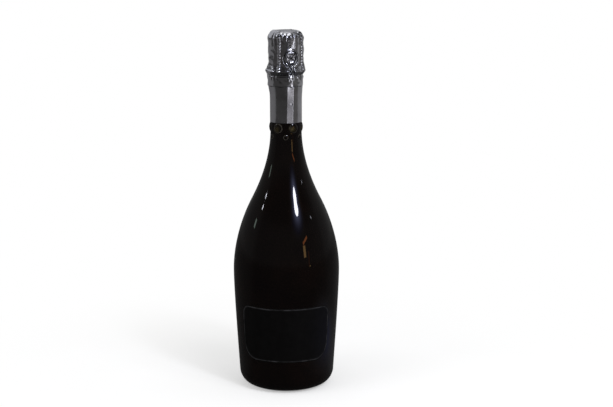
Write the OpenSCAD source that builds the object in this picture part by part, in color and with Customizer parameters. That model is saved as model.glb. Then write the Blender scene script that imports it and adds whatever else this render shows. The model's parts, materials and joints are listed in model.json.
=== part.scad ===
// Sparkling wine bottle, corked, wired and foiled.
// Origin: centre of the ring that the bottle stands on, +Z up through the mouth.
// Azimuths are measured from the front (-Y), positive towards +X.

/* [Glass body] */
// Height of the glass, from the ring that it stands on to the lip
glass_h = 302; // [290:1:320]
// Largest diameter of the body
body_d = 95.6; // [90:0.1:102]
// Height of the largest diameter
belly_z = 106.5; // [98:0.5:114]
// Diameter at the top of the rounded heel
heel_d = 85.6; // [82:0.2:88]
// Radius of the rounded heel
heel_r = 13.4; // [11:0.1:15]
// Slope of the side just above the heel, from upright
side_lean = 3.8; // [2:0.1:5]
// Diameter where the shoulder's outward curve turns inward
turn_d = 61.5; // [58:0.5:66]
// Share of the way from the largest diameter up to the straight neck at which that turn lies
turn_share = 0.514; // [0.48:0.001:0.55]
// Slope of the glass at that turn, from upright
turn_lean = 27.3; // [24:0.1:30]
// Depth below the lip at which the neck becomes straight
neck_drop = 68; // [66:0.5:74]
// Diameter of the straight neck
neck_d = 27.8; // [27:0.1:30]
// Thickness of the glass wall
wall_t = 5.5; // [4.5:0.1:6]
// Thickness of the glass over the hollow of the base
base_t = 9; // [7:0.1:11]
// Height of the hollow in the base
punt_h = 36; // [28:1:40]
// Width of the flat ring that the bottle stands on
rest_w = 2.8; // [2:0.1:4]
// Steepness of the hollow's foot, from level
punt_lean = 62; // [56:1:66]
// Rounding between the ring and the hollow
punt_r = 4; // [3:0.5:5]
// Radius of the trough inside the bottle, round the hollow of the base
trough_r = 4.5; // [3.5:0.1:5.5]

/* [Mouth] */
// Diameter of the bore that grips the cork
bore_d = 17.8; // [17:0.1:18.4]
// Depth of the straight bore below the lip
bore_h = 40; // [36:1:46]
// Inside diameter of the neck below the bore
neck_bore_d = 19.6; // [18.6:0.1:20]
// Diameter of the bead at the lip
bead_d = 26.6; // [26:0.1:27]
// Height of the bead
bead_h = 5; // [4:0.1:5.6]
// Diameter of the groove under the bead
groove_d = 25; // [24:0.1:25.8]
// Height of the groove
groove_h = 2.4; // [2:0.1:3]
// Largest diameter of the wire ring, the glass collar that the cage holds on to
collar_d = 29.2; // [28.8:0.1:30]
// Depth of the collar's lower edge below the lip
collar_drop = 16.4; // [16:0.1:18]
// Height of the collar's upright band
collar_band = 1.2; // [0.8:0.1:1.6]
// Diameter of the throat under the collar
throat_d = 25.8; // [25:0.1:26.6]
// Depth below the lip at which the neck has its full diameter
throat_drop = 40; // [36:1:46]
// Rounding of the edges of the mouth
edge_r = 0.9; // [0.5:0.1:1.1]

/* [Raised bubbles] */
// Number of bubbles in each of the two rows round the neck
bubble_count = 6; // [4:1:7]
// Distance from the foil's lower edge down to the large bubbles
bubble_gap = 0.15; // [0.1:0.05:1]
// Distance from the upper row down to the lower row
bubble_step = 8; // [6:0.5:9]
// Diameter of a large bubble
large_d = 8.8; // [7:0.1:10]
// Height of a large bubble above the neck
large_rise = 1.1; // [0.8:0.1:1.3]
// Diameter of a small bubble
small_d = 4.8; // [3:0.1:5.4]
// Height of a small bubble above the neck
small_rise = 0.7; // [0.4:0.1:0.9]
// Azimuth of the first large bubble
bubble_az = -31; // [-60:1:60]

/* [Wine] */
// Distance from the lip down to the wine's surface
fill_drop = 80; // [72:1:90]

/* [Cork] */
// Length of the cork in the bore
shank_h = 24; // [20:0.5:28]
// Height of the cork's head above the lip
head_h = 17.25; // [16:0.05:19]
// Diameter of the cork's head
head_d = 26.4; // [26:0.1:26.5]
// Rounding of the head's upper edge
head_r = 2.5; // [2:0.1:3.5]
// Rounding of the head's lower edge
head_low_r = 1.6; // [1:0.1:2.4]
// Thickness of each natural cork disc at the foot
disc_t = 5.6; // [4:0.1:7]
// Running clearance of the cork in the bore, all round
cork_fit = 0.05; // [0.03:0.01:0.08]

/* [Wire cage] */
// Diameter of the wire
wire_d = 0.95; // [0.85:0.05:1]
// Length in which a twisted pair of wires makes one turn
lay = 5; // [4.5:0.5:8]
// Azimuth of the first of the four legs
leg_az = -23; // [-28:1:-18]
// Diameter of the wire ring on the cap, through the wire's middle
crown_d = 21.8; // [21:0.1:22]
// Radius of the bend at the top of a leg
leg_bend_r = 2; // [1.8:0.1:2.2]
// Radius of the belt's middle line
belt_r = 14.8; // [14.75:0.05:14.85]
// Angle by which a leg's foot curls under the belt
hook_turn = 56; // [50:1:57]
// Thickness of the cap's sheet metal
cap_t = 0.3; // [0.25:0.05:0.4]
// Height of the cap's raised middle
cap_rise = 1.7; // [1:0.1:1.8]
// Diameter of the cap's raised middle
cap_mid_d = 16; // [12:0.5:17]
// Diameter of the cap's flat groove, out to its turned edge
cap_d = 24.6; // [24.2:0.1:24.8]
// Azimuth of the key
key_az = 18; // [12:1:22]
// Height of the key's twisted stem
stem_h = 7; // [6.4:0.1:7.5]
// Height of the key's loop, through the wire's middle
loop_h = 11; // [9:0.5:11.5]
// Width of the key's loop, through the wire's middle
loop_w = 10; // [8:0.5:10.4]

/* [Foil] */
// Thickness of the foil
foil_t = 0.15; // [0.1:0.05:0.2]
// Depth of the foil's lower edge below the lip
foil_drop = 60.8; // [58:0.1:61]
// Depth of the perforated tear line below the lip
tear_drop = 28.4; // [27:0.1:30]
// How far the loose foil stands off the neck at the tear line
foil_loose = 1.4; // [1:0.1:1.6]
// Rounding of the foil's top edge
foil_top_r = 3.3; // [3:0.1:3.4]
// Diameter of the round foil disc on top
top_disc_d = 25; // [23:0.5:25.4]
// Radius of the opening in the foil round the key's loop
window_r = 6.6; // [6.5:0.1:7]
// Width of the slit below that opening, for the key's stem
slit_w = 2.6; // [2.3:0.1:3]

/* [Labels] */
// Thickness of the label paper
label_t = 0.15; // [0.1:0.05:0.25]
// Height of the front label's lower edge
label_z = 30.7; // [26:0.1:36]
// Height of the front label
label_h = 50.3; // [44:0.1:56]
// Width of the front label, measured round the glass
label_w = 87; // [76:0.5:92]
// Azimuth of the front label's middle
label_az = -1.5; // [-6:0.5:6]
// Radius of the front label's upper corners
label_top_r = 9; // [6:0.5:12]
// Radius of the front label's lower corners
label_low_r = 15; // [10:0.5:18]
// Width of the raised border
border_w = 1.1; // [0.8:0.1:1.6]
// Height of the raised border above the label
border_rise = 0.2; // [0.1:0.05:0.3]
// Distance from the label's edge to its border
border_in = 0.5; // [0.3:0.1:1.5]
// Height of the back label's lower edge
back_z = 36; // [30:1:42]
// Height of the back label
back_h = 42; // [30:1:50]
// Width of the back label, measured round the glass
back_w = 58; // [44:1:70]
// Radius of the back label's corners
back_r = 3; // [2:0.5:6]

/* [Hidden] */
$fn = 96;

// Clearance between neighbours that touch on the real bottle
gap = 0.05;
// Overrun of every cut
over = 1;
leg_count = 4;

// Shares of the distance to the next point at which a curve's handles lie
side_shares = [0.2, 0.2];
shoulder_shares = [0.25, 0.41];
neck_shares = [0.36, 0.31];
punt_shares = [0.45, 0.4];
curve_steps = 14;
arc_steps = 8;

// Sizes of the glass worked out from those above
bore_r = bore_d / 2;
neck_r = neck_d / 2;
collar_r = collar_d / 2;
throat_r = throat_d / 2;
collar_z = glass_h - collar_drop;
neck_z = glass_h - neck_drop;
turn_z = mix(belly_z, neck_z, turn_share);
rest_out_r = heel_d / 2 - heel_r;
rest_in_r = rest_out_r - rest_w;
wine_z = glass_h - fill_drop;

// Sizes of the cage worked out from the glass and the cork
wire_r = wire_d / 2;
pair_off = wire_r + gap / 2;
pair_r = pair_off + wire_r;
head_top = glass_h + gap + head_h;
cap_z = head_top + gap;
leg_top = cap_z + cap_t + gap + pair_r;
leg_r = max(bead_d, head_d) / 2 + 2 * gap + pair_r;
belt_z = collar_z - 2 * gap - wire_r;
hook_r = wire_d + gap;
foot_r = belt_r + hook_r;
crown_r = crown_d / 2;
bead_low = glass_h - bead_h - groove_h;
cage_fn = 6;
lay_steps = 8;

// Sizes of the foil worked out from the cage
hood_r = leg_r + pair_r + 3 * gap;
hood_top = leg_top + pair_r + gap;
collar_foil_r = foot_r + pair_r + 3 * gap;
crease_r = foot_r + wire_r + 2 * gap;
tear_z = glass_h - tear_drop;
foil_low = glass_h - foil_drop;
loose_z = glass_h - throat_drop;

function mix(a, b, t) = a + (b - a) * t;
function unit(v) = v / norm(v);
function upright(lean) = [-sin(lean), cos(lean)];

// A cubic curve from a to d with handles b and c, without its first point
function curve(a, b, c, d) = [for (i = [1 : curve_steps]) let (t = i / curve_steps, u = 1 - t)
    u * u * u * a + 3 * u * u * t * b + 3 * u * t * t * c + t * t * t * d];

// An arc about c from one angle to another
function arc(c, r, from, to) = [for (i = [0 : arc_steps])
    c + r * [cos(mix(from, to, i / arc_steps)), sin(mix(from, to, i / arc_steps))]];

// A curve from a to b that leaves along one direction and arrives along another
function bend(a, leave, b, arrive, shares) =
    curve(a, a + leave * shares[0] * norm(b - a), b - arrive * shares[1] * norm(b - a), b);

// Point of the heel's curve where the side begins, w inside the outer face
function heel_end(w) = [rest_out_r, heel_r] + (heel_r - w) * [cos(side_lean), -sin(side_lean)];

// Side of the bottle from the heel to the neck, w inside its outer face:
// a swelling side, a shoulder and a hollow run into the neck
function side_line(w, top_r) =
    let (belly = [body_d / 2 - w, belly_z],
         turn = [turn_d / 2 - w * cos(turn_lean), turn_z - w * sin(turn_lean)],
         top = [top_r, neck_z])
    concat([heel_end(w)],
           bend(heel_end(w), upright(-side_lean), belly, upright(0), side_shares),
           bend(belly, upright(0), turn, upright(turn_lean), shoulder_shares),
           bend(turn, upright(turn_lean), top, upright(0), neck_shares));

// Dome from its top on the axis down and out to a foot
function dome_line(top_z, foot) = concat([[0, top_z]],
    bend([0, top_z], [1, 0], foot, [cos(punt_lean), -sin(punt_lean)], punt_shares));

// Outer face of the mouth, from the neck up to the bore's edge
mouth_line = concat(
    [[neck_r, loose_z], [throat_r, collar_z - edge_r], [throat_r, collar_z]],
    arc([collar_r - edge_r, collar_z + edge_r], edge_r, -90, 0),
    [[collar_r, collar_z + edge_r + collar_band],
     [groove_d / 2 + edge_r, bead_low], [groove_d / 2, bead_low + edge_r],
     [groove_d / 2, glass_h - bead_h], [bead_d / 2, glass_h - bead_h + edge_r]],
    arc([bead_d / 2 - edge_r, glass_h - edge_r], edge_r, 0, 90),
    [[bore_r + edge_r / 2, glass_h]]);

// Outer face from the top of the base's hollow to the neck
punt_c = [rest_in_r, punt_r];
outer_line = concat(
    dome_line(punt_h, punt_c - punt_r * [sin(punt_lean), cos(punt_lean)]),
    arc(punt_c, punt_r, -90 - punt_lean, -90), arc([rest_out_r, heel_r], heel_r, -90, -side_lean),
    side_line(0, neck_r));

// The hollow inside the bottle up to the neck, g smaller all round
trough_c = heel_end(wall_t + trough_r);
function hollow_line(g) = concat(
    dome_line(punt_h + base_t + g, trough_c - (trough_r - g) * [sin(punt_lean), cos(punt_lean)]),
    arc(trough_c, trough_r - g, -90 - punt_lean, -side_lean),
    side_line(wall_t + g, neck_bore_d / 2 - g));

// Radius of the glass at a height of the side
side_table = [for (p = side_line(0, neck_r)) [p.y, p.x]];
function glass_r(z) = lookup(z, side_table);

// Cap of a ball that stands out of the neck, d across at its foot
module ball_cap(d, rise, az, z) {
    r = (pow(d / 2, 2) + pow(rise, 2)) / (2 * rise);
    rotate([0, 0, az]) translate([0, r - rise - neck_r, z]) sphere(r, $fn = 48);
}

module bubbles() {
    pitch = 360 / bubble_count;
    z = foil_low - bubble_gap - large_d / 2;
    for (i = [0 : bubble_count - 1]) {
        ball_cap(large_d, large_rise, bubble_az + i * pitch, z);
        ball_cap(small_d, small_rise, bubble_az + (i + 1 / 2) * pitch, z - bubble_step);
    }
}

module glass_bottle() {
    color([0.09, 0.08, 0.05]) difference() {
        union() {
            rotate_extrude() polygon(concat(outer_line, mouth_line, [[0, glass_h]]));
            bubbles();
        }
        rotate_extrude() polygon(concat(hollow_line(0),
            [[bore_r, glass_h - bore_h], [bore_r, glass_h - edge_r / 2],
             [bore_r + edge_r / 2, glass_h], [bore_r + edge_r / 2, glass_h + over],
             [0, glass_h + over]]));
    }
}

module wine() {
    line = hollow_line(gap);
    inner_table = [for (p = side_line(wall_t + gap, neck_bore_d / 2 - gap)) [p.y, p.x]];
    color([0.85, 0.68, 0.3]) rotate_extrude()
        polygon(concat([for (p = line) if (p.y < wine_z) p],
                       [[lookup(wine_z, inner_table), wine_z], [0, wine_z]]));
}

// One slice of the cork's shank
module shank(low, high) {
    translate([0, 0, low]) cylinder(h = high - low, r = bore_r - cork_fit);
}

module cork_body() {
    low = glass_h - shank_h + 2 * disc_t;
    foot = glass_h + gap;
    r = head_d / 2;
    color([0.78, 0.6, 0.4]) union() {
        shank(low, foot + over);
        rotate_extrude() polygon(concat(
            [[0, foot]],
            arc([r - head_low_r, foot + head_low_r], head_low_r, -90, 0),
            arc([r - head_r, head_top - head_r], head_r, 0, 90),
            [[0, head_top]]));
    }
}

module cork_disc_upper() {
    low = glass_h - shank_h + disc_t;
    color([0.82, 0.65, 0.45]) shank(low, low + disc_t - gap);
}

module cork_disc_lower() {
    low = glass_h - shank_h;
    color([0.82, 0.65, 0.45]) shank(low, low + disc_t - gap);
}

// Pressed cap: a raised middle, a groove for the crown wire and an edge turned down
module cage_cap() {
    groove_in = cap_mid_d / 2 + cap_rise;
    edge = cap_d / 2;
    color([0.72, 0.73, 0.75]) rotate_extrude() polygon([
        [0, cap_z + cap_rise], [cap_mid_d / 2, cap_z + cap_rise],
        [groove_in, cap_z], [edge - cap_t, cap_z], [edge, cap_z - cap_t],
        [edge + cap_t, cap_z], [edge, cap_z + cap_t], [groove_in + cap_t / 2, cap_z + cap_t],
        [cap_mid_d / 2 + cap_t / 2, cap_z + cap_rise + cap_t], [0, cap_z + cap_rise + cap_t]]);
}

module cage_crown() {
    color([0.6, 0.61, 0.63])
        translate([0, 0, cap_z + cap_t + gap + wire_r]) rotate_extrude() translate([crown_r, 0])
            circle(wire_r, $fn = 24);
}

// A tube of cage_fn sides along a path of points, closed at both ends.
// Each ring stands square to the path, turned as little as the path allows.
module tube(path, r) {
    n = len(path);
    ways = [for (i = [0 : n - 1]) unit(path[min(i + 1, n - 1)] - path[max(i - 1, 0)])];
    first = unit(cross(ways[0], [1, 2, 3]));
    sides = [for (i = 0, u = first; i < n; i = i + 1,
                  u = unit(u - (u * ways[min(i, n - 1)]) * ways[min(i, n - 1)])) u];
    points = [for (i = [0 : n - 1], k = [0 : cage_fn - 1]) let (a = 360 * k / cage_fn)
        path[i] + r * (cos(a) * sides[i] + sin(a) * cross(ways[i], sides[i]))];
    function at(i, k) = i * cage_fn + k % cage_fn;
    walls = [for (i = [0 : n - 2], k = [0 : cage_fn - 1])
        each [[at(i, k), at(i + 1, k), at(i + 1, k + 1)], [at(i, k), at(i + 1, k + 1), at(i, k + 1)]]];
    ends = [for (k = [1 : cage_fn - 2]) each [[at(0, 0), at(0, k), at(0, k + 1)],
        [at(n - 1, 0), at(n - 1, k + 1), at(n - 1, k)]]];
    polyhedron(points, concat(walls, ends), convexity = 8);
}

// Middle line of a leg in its own upright plane, as [radius, height] points:
// out over the cap's edge, down beside the cork and out over the collar
leg_line = concat(
    [[crown_r + wire_d, leg_top]],
    arc([leg_r - leg_bend_r, leg_top - leg_bend_r], leg_bend_r, 90, 0),
    [[leg_r, bead_low + groove_h], [foot_r, collar_z + edge_r + collar_band],
     [foot_r, collar_z + edge_r / 2]]);

// Running length of a line of points at each point
function lengths(line) = [for (i = 0, s = 0; i < len(line);
    s = s + (i + 1 < len(line) ? norm(line[i + 1] - line[i]) : 0), i = i + 1) s];

// One wire of a twisted pair that follows a line, as [radius, across, height] points.
// It winds about the line in whole half turns, each half a lay or a little more, so at both ends
// of the line the two wires lie side by side across it.
function strand(line, side) =
    let (s = lengths(line), total = s[len(s) - 1],
         radii = [for (i = [0 : len(line) - 1]) [s[i], line[i].x]],
         heights = [for (i = [0 : len(line) - 1]) [s[i], line[i].y]],
         halves = floor(2 * total / lay), steps = halves * lay_steps / 2)
    [for (i = [0 : steps]) let (
        d = total * i / steps, e = total / steps / 2,
        p = [lookup(d, radii), lookup(d, heights)],
        w = unit([lookup(min(d + e, total), radii), lookup(min(d + e, total), heights)]
               - [lookup(max(d - e, 0), radii), lookup(max(d - e, 0), heights)]),
        turn = 90 + 180 * halves * (1 - i / steps),
        out = side * pair_off * cos(turn))
        [p.x + out * w.y, side * pair_off * sin(turn), p.y - out * w.x]];

function backwards(list) = [for (i = [len(list) - 1 : -1 : 0]) list[i]];

// A point [radius, across, height] turned to its azimuth
function at_az(p, az) = [p[0] * sin(az) + p[1] * cos(az), -p[0] * cos(az) + p[1] * sin(az), p[2]];

// The foot's curl under the belt, beside the middle line, and its return bend
function hook(side) = [for (i = [1 : arc_steps / 2]) let (a = -hook_turn * i / (arc_steps / 2))
    [belt_r + hook_r * cos(a), side * pair_off, belt_z + hook_r * sin(a)]];

foot_tip = [belt_r + hook_r * cos(hook_turn), 0, belt_z - hook_r * sin(hook_turn)];

// One wire makes a leg: down as half of the pair, round the hook and up as the other half
leg_path = concat(
    strand(leg_line, 1), hook(1),
    [foot_tip + pair_off * [-sin(hook_turn), 0, -cos(hook_turn)] / 2],
    backwards(hook(-1)), backwards(strand(leg_line, -1)));

module cage_leg(i) {
    az = leg_az + i * 360 / leg_count;
    color([0.6, 0.61, 0.63]) tube([for (p = leg_path) at_az(p, az)], wire_r);
}

module cage_leg_1() {
    cage_leg(0);
}

module cage_leg_2() {
    cage_leg(1);
}

module cage_leg_3() {
    cage_leg(2);
}

module cage_leg_4() {
    cage_leg(3);
}

module cage_belt() {
    color([0.6, 0.61, 0.63])
        translate([0, 0, belt_z]) rotate_extrude() translate([belt_r, 0]) circle(wire_r, $fn = 24);
}

// The key lies up against the collar and the cork: a twisted stem and a loop
stem_top = belt_z + stem_h;
loop_foot_r = mix(foot_r, leg_r, 1 / 2);
stem_line = [[foot_r, belt_z], [foot_r, collar_z + edge_r + collar_band], [loop_foot_r, stem_top]];
loop_lean = [leg_r - loop_foot_r, loop_h];

// A drop: half width follows sin(t) * sin(t / 2) ^ 1.5, and height follows its cosine.
// drop_share is the greatest value of that product, found at widest_share of the drop's height.
drop_share = 0.7;
widest_share = 0.55;
loop_steps = 24;
loop_path = [for (i = [1 : loop_steps - 1]) let (
    t = 360 * i / loop_steps, side = t < 180 ? 1 : -1, half = t < 180 ? t : 360 - t,
    up = (1 - cos(half)) / 2,
    swell = sin(half) * pow(sin(half / 2), 3 / 2) / drop_share,
    across = half == 180 ? 0 : pair_off + (loop_w / 2 - pair_off) * swell)
    [loop_foot_r + loop_lean.x * up, side * across, stem_top + loop_lean.y * up]];

key_path = concat(strand(stem_line, 1), loop_path, backwards(strand(stem_line, -1)));

module cage_key() {
    color([0.6, 0.61, 0.63]) tube([for (p = key_path) at_az(p, key_az)], wire_r);
}

// Inner face of the hood, from the tear line up and in to the flat top
hood_line = concat(
    [[neck_r + foil_loose, tear_z + gap], [neck_r + foil_loose, mix(tear_z, collar_z, 1 / 2)],
     [crease_r, belt_z - wire_r], [collar_foil_r, collar_z + edge_r],
     [collar_foil_r, collar_z + edge_r + collar_band], [hood_r, bead_low + groove_h]],
    arc([hood_r - foil_top_r, hood_top - foil_top_r], foil_top_r, 0, 90));

module foil_hood() {
    n = len(hood_line) - arc_steps - 1;
    outer = concat([for (i = [0 : n - 1]) hood_line[i] + [foil_t, 0]],
                   arc([hood_r - foil_top_r, hood_top - foil_top_r], foil_top_r + foil_t, 0, 90));
    rim_in = top_disc_d / 2 - foil_top_r;
    loop_mid = stem_top + loop_h * widest_share;
    color([0.62, 0.63, 0.65]) difference() {
        rotate_extrude() polygon(concat(
            hood_line, [[rim_in, hood_top], [rim_in, hood_top + foil_t]], backwards(outer)));
        rotate([0, 0, key_az]) translate([0, -leg_r + over, loop_mid]) rotate([90, 0, 0])
            cylinder(h = collar_foil_r, r = window_r);
        rotate([0, 0, key_az]) translate([-slit_w / 2, -2 * leg_r, belt_z - 2 * wire_d])
            cube([slit_w, leg_r, loop_mid - belt_z]);
    }
}

module foil_top_disc() {
    color([0.62, 0.63, 0.65]) translate([0, 0, hood_top + foil_t + gap]) cylinder(h = foil_t, d = top_disc_d);
}

// The skirt hugs the neck and then stands off it up to the tear line
module foil_skirt() {
    snug = neck_r + gap;
    loose = neck_r + foil_loose - foil_t;
    color([0.62, 0.63, 0.65]) rotate_extrude() polygon([
        [snug, foil_low], [snug, loose_z], [loose, tear_z], [loose + foil_t, tear_z],
        [snug + foil_t, loose_z], [snug + foil_t, foil_low]]);
}

// A band of the side's height, between two distances off the glass
module side_band(low, high, inner, outer) {
    line = concat([[glass_r(low), low]], [for (p = side_table) if (p[0] > low && p[0] < high) [p[1], p[0]]],
                  [[glass_r(high), high]]);
    rotate_extrude() polygon(concat(
        [for (p = line) p + [inner, 0]], [for (p = backwards(line)) p + [outer, 0]]));
}

// A rectangle with rounded corners round the glass, seen from the front.
// A distance s round the glass stands at r * sin(s / r) across it.
module wrapped_outline(w, low, high, low_r, top_r, inset) {
    r = glass_r(mix(low, high, 1 / 2));
    x = w / 2 - inset;
    b = low + inset;
    t = high - inset;
    lr = low_r - inset;
    tr = top_r - inset;
    flat = concat(arc([x - lr, b + lr], lr, -90, 0), arc([x - tr, t - tr], tr, 0, 90),
                  arc([-x + tr, t - tr], tr, 90, 180), arc([-x + lr, b + lr], lr, 180, 270));
    polygon([for (p = flat) [r * sin(p.x / r * 180 / PI), p.y]]);
}

module wrapped(az, depth, low, high, inner, outer) {
    rotate([0, 0, az]) intersection() {
        side_band(low, high, inner, outer);
        rotate([90, 0, 0]) linear_extrude(depth) children();
    }
}

module front_label() {
    top = label_z + label_h;
    lift = gap + label_t;
    color([0.05, 0.05, 0.05]) union() {
        wrapped(label_az, body_d, label_z, top, gap, lift)
            wrapped_outline(label_w, label_z, top, label_low_r, label_top_r, 0);
        wrapped(label_az, body_d, label_z, top, gap, lift + border_rise) difference() {
            wrapped_outline(label_w, label_z, top, label_low_r, label_top_r, border_in);
            wrapped_outline(label_w, label_z, top, label_low_r, label_top_r, border_in + border_w);
        }
    }
}

module back_label() {
    color([0.05, 0.05, 0.05])
        wrapped(180, body_d, back_z, back_z + back_h, gap, gap + label_t)
            wrapped_outline(back_w, back_z, back_z + back_h, back_r, back_r, 0);
}

glass_bottle();
wine();
cork_body();
cork_disc_upper();
cork_disc_lower();
cage_cap();
cage_crown();
cage_leg_1();
cage_leg_2();
cage_leg_3();
cage_leg_4();
cage_belt();
cage_key();
foil_hood();
foil_top_disc();
foil_skirt();
front_label();
back_label();
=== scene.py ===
import json
import math

import bpy
import numpy as np
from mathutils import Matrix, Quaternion, Vector


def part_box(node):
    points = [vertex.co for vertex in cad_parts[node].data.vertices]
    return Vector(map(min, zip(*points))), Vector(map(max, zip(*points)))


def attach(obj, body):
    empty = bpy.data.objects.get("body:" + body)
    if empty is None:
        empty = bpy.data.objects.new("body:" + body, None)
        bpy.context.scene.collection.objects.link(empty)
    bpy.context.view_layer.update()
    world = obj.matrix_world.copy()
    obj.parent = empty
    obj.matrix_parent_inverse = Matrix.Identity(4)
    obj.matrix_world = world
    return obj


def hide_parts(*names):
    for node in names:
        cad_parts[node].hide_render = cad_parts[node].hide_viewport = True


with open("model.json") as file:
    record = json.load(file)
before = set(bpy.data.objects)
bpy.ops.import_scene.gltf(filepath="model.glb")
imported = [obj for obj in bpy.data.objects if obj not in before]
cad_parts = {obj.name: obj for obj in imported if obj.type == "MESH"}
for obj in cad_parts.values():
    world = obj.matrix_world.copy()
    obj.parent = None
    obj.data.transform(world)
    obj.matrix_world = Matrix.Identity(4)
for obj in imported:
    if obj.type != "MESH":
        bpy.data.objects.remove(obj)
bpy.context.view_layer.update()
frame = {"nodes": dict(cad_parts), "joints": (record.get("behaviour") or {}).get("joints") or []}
mm = 0.001
samePoint = 1e-6  # points nearer than this, in mm, are one
noiseRows = 256  # rows of a random pattern before it repeats


# Shared helpers
def nodeTop(node):
    # height of a node's highest point, in mm
    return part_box(node)[1].z / mm


def nodeFoot(node):
    # height of a node's lowest point, in mm
    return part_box(node)[0].z / mm


def nodeRadius(node):
    # half a node's width, in mm
    low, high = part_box(node)
    return (high.x - low.x) / 2 / mm


def linear(hexColour):
    # sRGB hex to linear RGBA: each channel is ((c + 0.055) / 1.055) ^ 2.4, or c / 12.92 when dark
    c = np.array([int(hexColour[i:i + 2], 16) for i in (1, 3, 5)]) / 255
    return (*np.where(c <= 0.04045, c / 12.92, ((c + 0.055) / 1.055) ** 2.4), 1.0)


def smooth(t):
    # 0 below 0, 1 above 1, and 3t^2 - 2t^3 between
    t = np.clip(t, 0, 1)
    return t * t * (3 - 2 * t)


def rising(x, start, over):
    # smooth step that leaves 0 at start and is 1 from start + over on
    return smooth((x - start) / over)


def hump(x, width):
    # bell: e to the power of minus (x / width) squared
    return np.exp(-(x / width) ** 2)


def turned(az):
    # difference of azimuths brought into -180..180
    return (az + 180) % 360 - 180


def alongArc(az, centre, radius):
    # distance in mm from the azimuth centre, along a circle of this radius
    return np.radians(turned(az - centre)) * radius


def allRound(columns, start=0):
    # azimuths of so many columns once round the axis, as a row
    return np.linspace(start, start + 360, columns, endpoint=False)[None, :]


def roundAxis(radius, az, height):
    # point of a turned surface: (r sin az, -r cos az, z)
    a = np.radians(az)
    x, y, z = np.broadcast_arrays(radius * np.sin(a), -radius * np.cos(a), height)
    return np.stack([x, y, z], -1)


def arc(centre, radius, start, end, count):
    # points centre + radius * (cos a, sin a) with a going evenly from start to end
    a = np.radians(np.linspace(start, end, count))
    return np.array(centre) + radius * np.stack([np.cos(a), np.sin(a)], -1)


def bend(a, leave, b, arrive, shares, count):
    # cubic curve from a to b without a, handles at shares of the distance along both directions
    a, b, leave, arrive = (np.array(v, float) for v in (a, b, leave, arrive))
    reach = np.linalg.norm(b - a)
    t = np.linspace(0, 1, count + 1)[1:, None]
    u = 1 - t
    return (u ** 3 * a + 3 * u * u * t * (a + leave * shares[0] * reach)
            + 3 * u * t * t * (b - arrive * shares[1] * reach) + t ** 3 * b)


def upright(lean):
    # direction that leans inwards from straight up
    return (-math.sin(math.radians(lean)), math.cos(math.radians(lean)))


def finer(line, step, low=-math.inf, high=math.inf):
    # the line with extra points so that no stretch that reaches between two heights is longer than step
    out = [line[:1]]
    for a, b in zip(line[:-1], line[1:]):
        inside = max(a[1], b[1]) > low and min(a[1], b[1]) < high
        count = max(1, math.ceil(np.linalg.norm(b - a) / step)) if inside else 1
        out.append(a + (b - a) * np.linspace(0, 1, count + 1)[1:, None])
    return np.concatenate(out)


def cellNoise(u, v, size, around, seed, tall=1.0):
    # distance to the nearest of one random point per cell, in cells; u repeats after around
    rng = np.random.default_rng(seed)
    columns = max(3, round(around / size))
    spots = rng.random((columns, noiseRows, 2))
    x, y = u / around * columns, v / (size * tall)
    ix, iy = np.floor(x).astype(int), np.floor(y).astype(int)
    best = np.full(np.broadcast(x, y).shape, np.inf)
    for dx in (-1, 0, 1):
        for dy in (-1, 0, 1):
            spot = spots[(ix + dx) % columns, (iy + dy) % noiseRows]
            best = np.minimum(best, np.hypot(ix + dx + spot[..., 0] - x, iy + dy + spot[..., 1] - y))
    return best


def bowls(u, v, size, around, seed, tall=1.0):
    # shallow bowls with sharp ridges between them: the square of the cell noise, at most 1
    return np.minimum(cellNoise(u, v, size, around, seed, tall), 1) ** 2


def softNoise(u, v, size, around, seed):
    # random heights from -1 to 1 on a grid, blended smoothly between its points; u repeats
    rng = np.random.default_rng(seed)
    columns = max(2, round(around / size))
    grid = rng.uniform(-1, 1, (columns, noiseRows))
    x, y = np.broadcast_arrays(u / around * columns, v / size)
    ix, iy = np.floor(x).astype(int), np.floor(y).astype(int)
    fx, fy = smooth(x - ix), smooth(y - iy)
    at = lambda dx, dy: grid[(ix + dx) % columns, (iy + dy) % noiseRows]
    return ((at(0, 0) * (1 - fx) + at(1, 0) * fx) * (1 - fy)
            + (at(0, 1) * (1 - fx) + at(1, 1) * fx) * fy)


def drawnNoise(u, z, noise, around, seed):
    # soft noise of a size in mm that counts only a share of the height, and so is drawn out downwards
    size, share = noise
    return softNoise(u, z * share, size, around, seed)


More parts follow.
